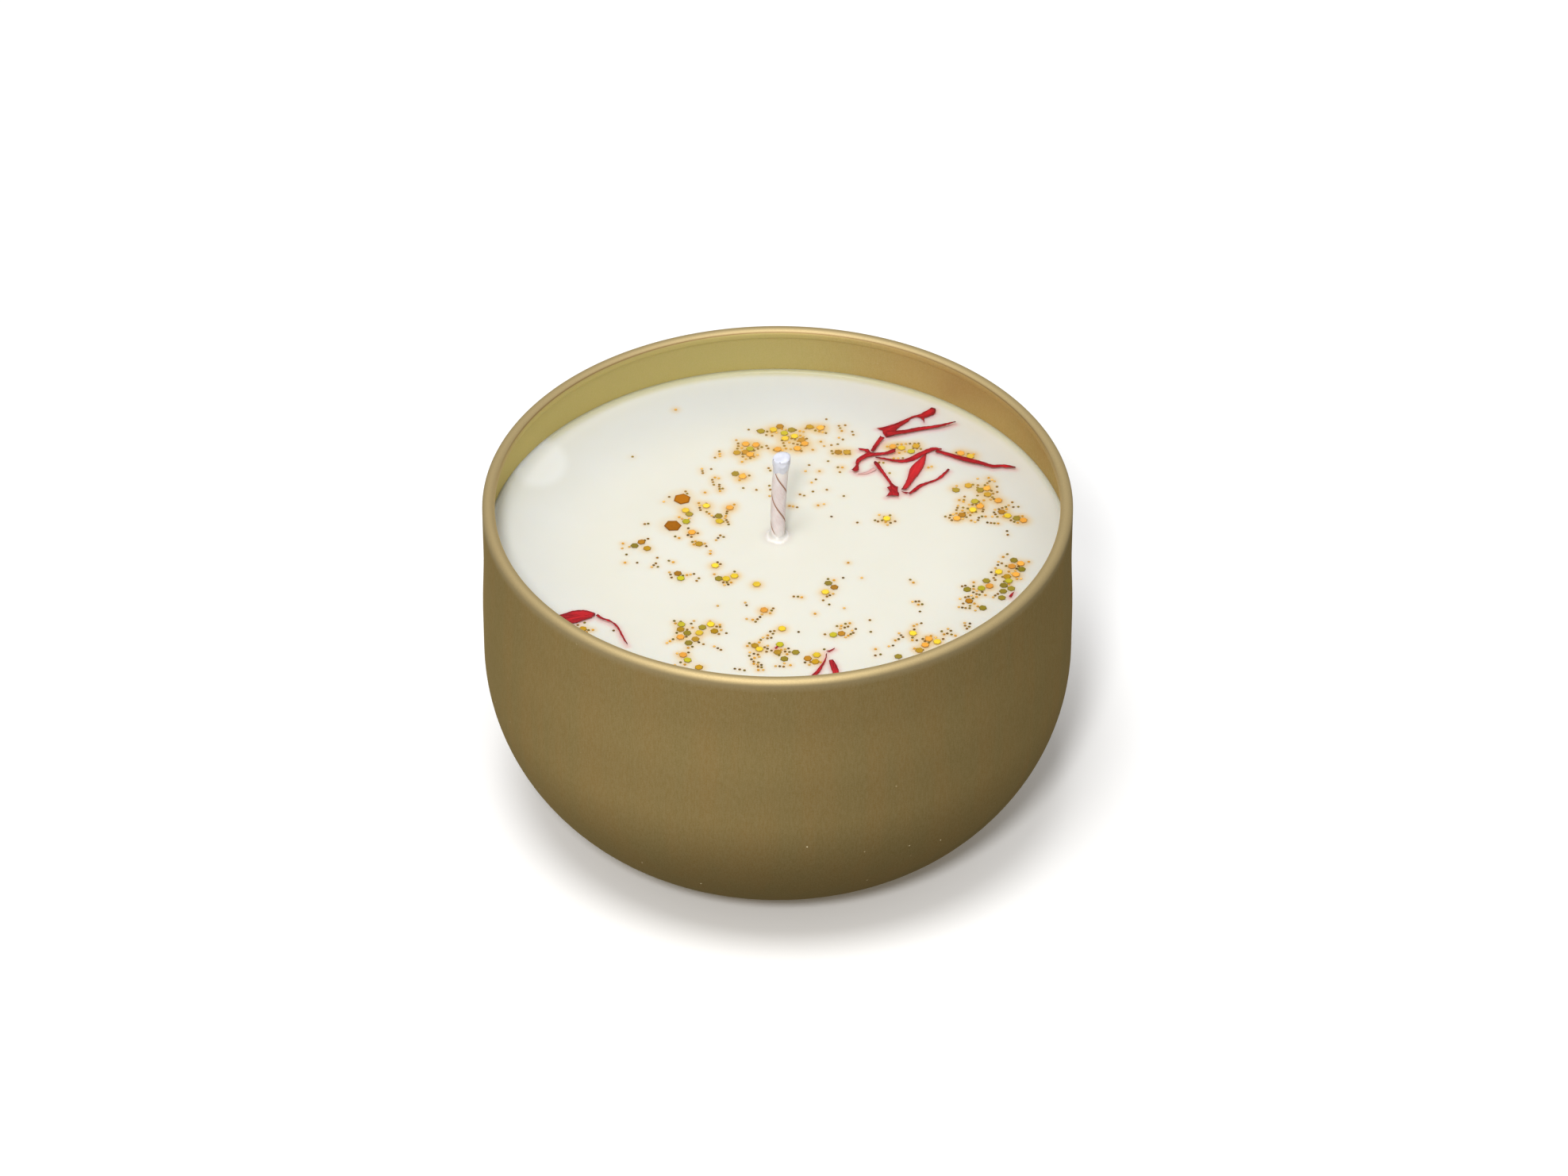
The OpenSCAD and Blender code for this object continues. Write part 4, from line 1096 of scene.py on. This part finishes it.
def build_coat(mat):
    """The white wax coat over the wick's end."""
    sides, rows = 80, 90
    rings = []
    for i in range(rows):
        ring = []
        for a in around(sides):
            s, r = coat_shape(i / (rows - 1), a)
            ring.append(wick_point(s, a, r))
        rings.append(ring)
    cap = tube(rings, sides, "wick_white_coat", mat)
    place(cap, "wick_cap_wax", "wick_cap")


# ------------------------------------ camera, floor and light
ELEVATION = math.radians(38.0)
DISTANCE = 1.0
# The camera's axis passes a little below the rim's middle, and to its right
AIM_DOWN = 12.2 * MM
AIM_RIGHT = 0.86 * MM
LENS = 170.9


def build_camera():
    """The camera at the photo's angle."""
    data = bpy.data.cameras.new("view")
    data.lens = LENS
    data.sensor_width = 36.0
    data.clip_start = 0.05
    data.clip_end = 20.0
    camera = bpy.data.objects.new("view", data)
    bpy.context.scene.collection.objects.link(camera)
    forward = Vector((0, math.cos(ELEVATION), -math.sin(ELEVATION)))
    up = Vector((0, math.sin(ELEVATION), math.cos(ELEVATION)))
    camera.location = (Vector((0, 0, RIM_Z)) - forward * DISTANCE - up * AIM_DOWN
                       + Vector((1, 0, 0)) * AIM_RIGHT)
    camera.rotation_euler = (math.pi / 2 - ELEVATION, 0, 0)
    bpy.context.scene.camera = camera


def area_light(name, azimuth, elevation, distance, size, power):
    """A soft round light aimed at the tin; azimuth 0 is at the camera's side."""
    data = bpy.data.lights.new(name, "AREA")
    data.shape = "DISK"
    data.size = size
    data.energy = power
    light = bpy.data.objects.new(name, data)
    bpy.context.scene.collection.objects.link(light)
    a, e = math.radians(azimuth), math.radians(elevation)
    way = Vector((math.sin(a) * math.cos(e), -math.cos(a) * math.cos(e), math.sin(e)))
    target = Vector((0, 0, RIM_Z * 0.6))
    light.location = target + way * distance
    light.rotation_euler = way.to_track_quat("Z", "Y").to_euler()


# Brightness of the surroundings by height of the direction, from straight down to straight up
SKY = ((-1.0, 0.06), (-0.84, 0.15), (-0.68, 0.37), (-0.58, 0.42), (-0.3, 0.34), (-0.05, 0.36),
       (0.05, 0.62), (0.5, 0.52), (1.0, 0.45))
# How much brighter the left of the surroundings is than the middle, below the horizon
SKY_SIDE = 0.46
# What is left of the low surroundings behind the tin, so that its edges turn dark
SKY_LOW_BACK = 0.30


def build_floor():
    """The pale floor, which the tin doesn't mirror."""
    mat, tree, shader = material("studio_floor", Roughness=0.9, Specular_IOR_Level=0.0)
    soft = object_noise(tree, (0.004, 0.004, 0.004), 1.0)
    link(tree, mix(tree, soft, (0.96, 0.96, 0.96), (0.97, 0.97, 0.97)), shader, "Base Color")
    size = 8.0
    corners = [(-size, -size, 0), (size, -size, 0), (size, size, 0), (-size, size, 0)]
    floor = new_mesh("studio_floor", corners, [(0, 1, 2, 3)], mat)
    floor.visible_glossy = False


def build_surroundings():
    """Soft surroundings: SKY by height, the left brighter and the back darker low down."""
    world = bpy.data.worlds.new("studio")
    bpy.context.scene.world = world
    world.use_nodes = True
    tree = world.node_tree
    background = next(n for n in tree.nodes if n.type == "BACKGROUND")
    way = add(tree, "SeparateXYZ", {0: add(tree, "TexCoord").outputs["Generated"]})
    ramp = add(tree, "ValToRGB", {0: spread(tree, way.outputs[2], -1.0, 1.0)})
    stops = [((z + 1) / 2, level) for z, level in SKY]
    ramp.color_ramp.elements[0].position = stops[0][0]
    ramp.color_ramp.elements[1].position = stops[-1][0]
    for position, level in stops[1:-1]:
        ramp.color_ramp.elements.new(position)
    for element, (position, level) in zip(ramp.color_ramp.elements, stops):
        element.color = (level, level, level, 1.0)
    low = spread(tree, way.outputs[2], 0.0, -0.25)
    side = multiply(tree, spread(tree, way.outputs[0], -1.0, 1.0, SKY_SIDE, -SKY_SIDE), low)
    side = math_node(tree, "ADD", side, 1.0)
    behind = spread(tree, way.outputs[1], -0.25, 0.75)
    dimmed = spread(tree, multiply(tree, low, behind), 0.0, 1.0, 1.0, SKY_LOW_BACK)
    link(tree, ramp.outputs[0], background, "Color")
    link(tree, multiply(tree, side, dimmed), background, "Strength")


# ------------------------------------ build
build_camera()
build_floor()
build_surroundings()
area_light("camera_side", azimuth=-8, elevation=43, distance=1.2, size=0.18, power=6.6)
area_light("overhead", azimuth=-22, elevation=74, distance=1.2, size=0.50, power=7.6)
bpy.context.scene.view_settings.view_transform = "Standard"
bpy.context.scene.view_settings.look = "None"

for node, mat in (("wick_sustainer", plain_steel()), ("wick_sticker", foam())):
    frame["nodes"][node].data.materials.clear()
    frame["nodes"][node].data.materials.append(mat)

build_tin(gold_lacquer())
build_wax(cream_wax())
build_core(wick_cotton())
build_threads(brown_thread())
build_coat(white_coat())
for index, node in enumerate(GLITTER):
    name = node.removeprefix("glitter_")
    build_glitter(node, film(name, FILM_COLOURS[name]), random.Random(GLITTER_SEED + index))
petal_red = dried_petal()
for index, node in enumerate(PETALS):
    build_petal(node, petal_red, random.Random(PETAL_SEED + index))
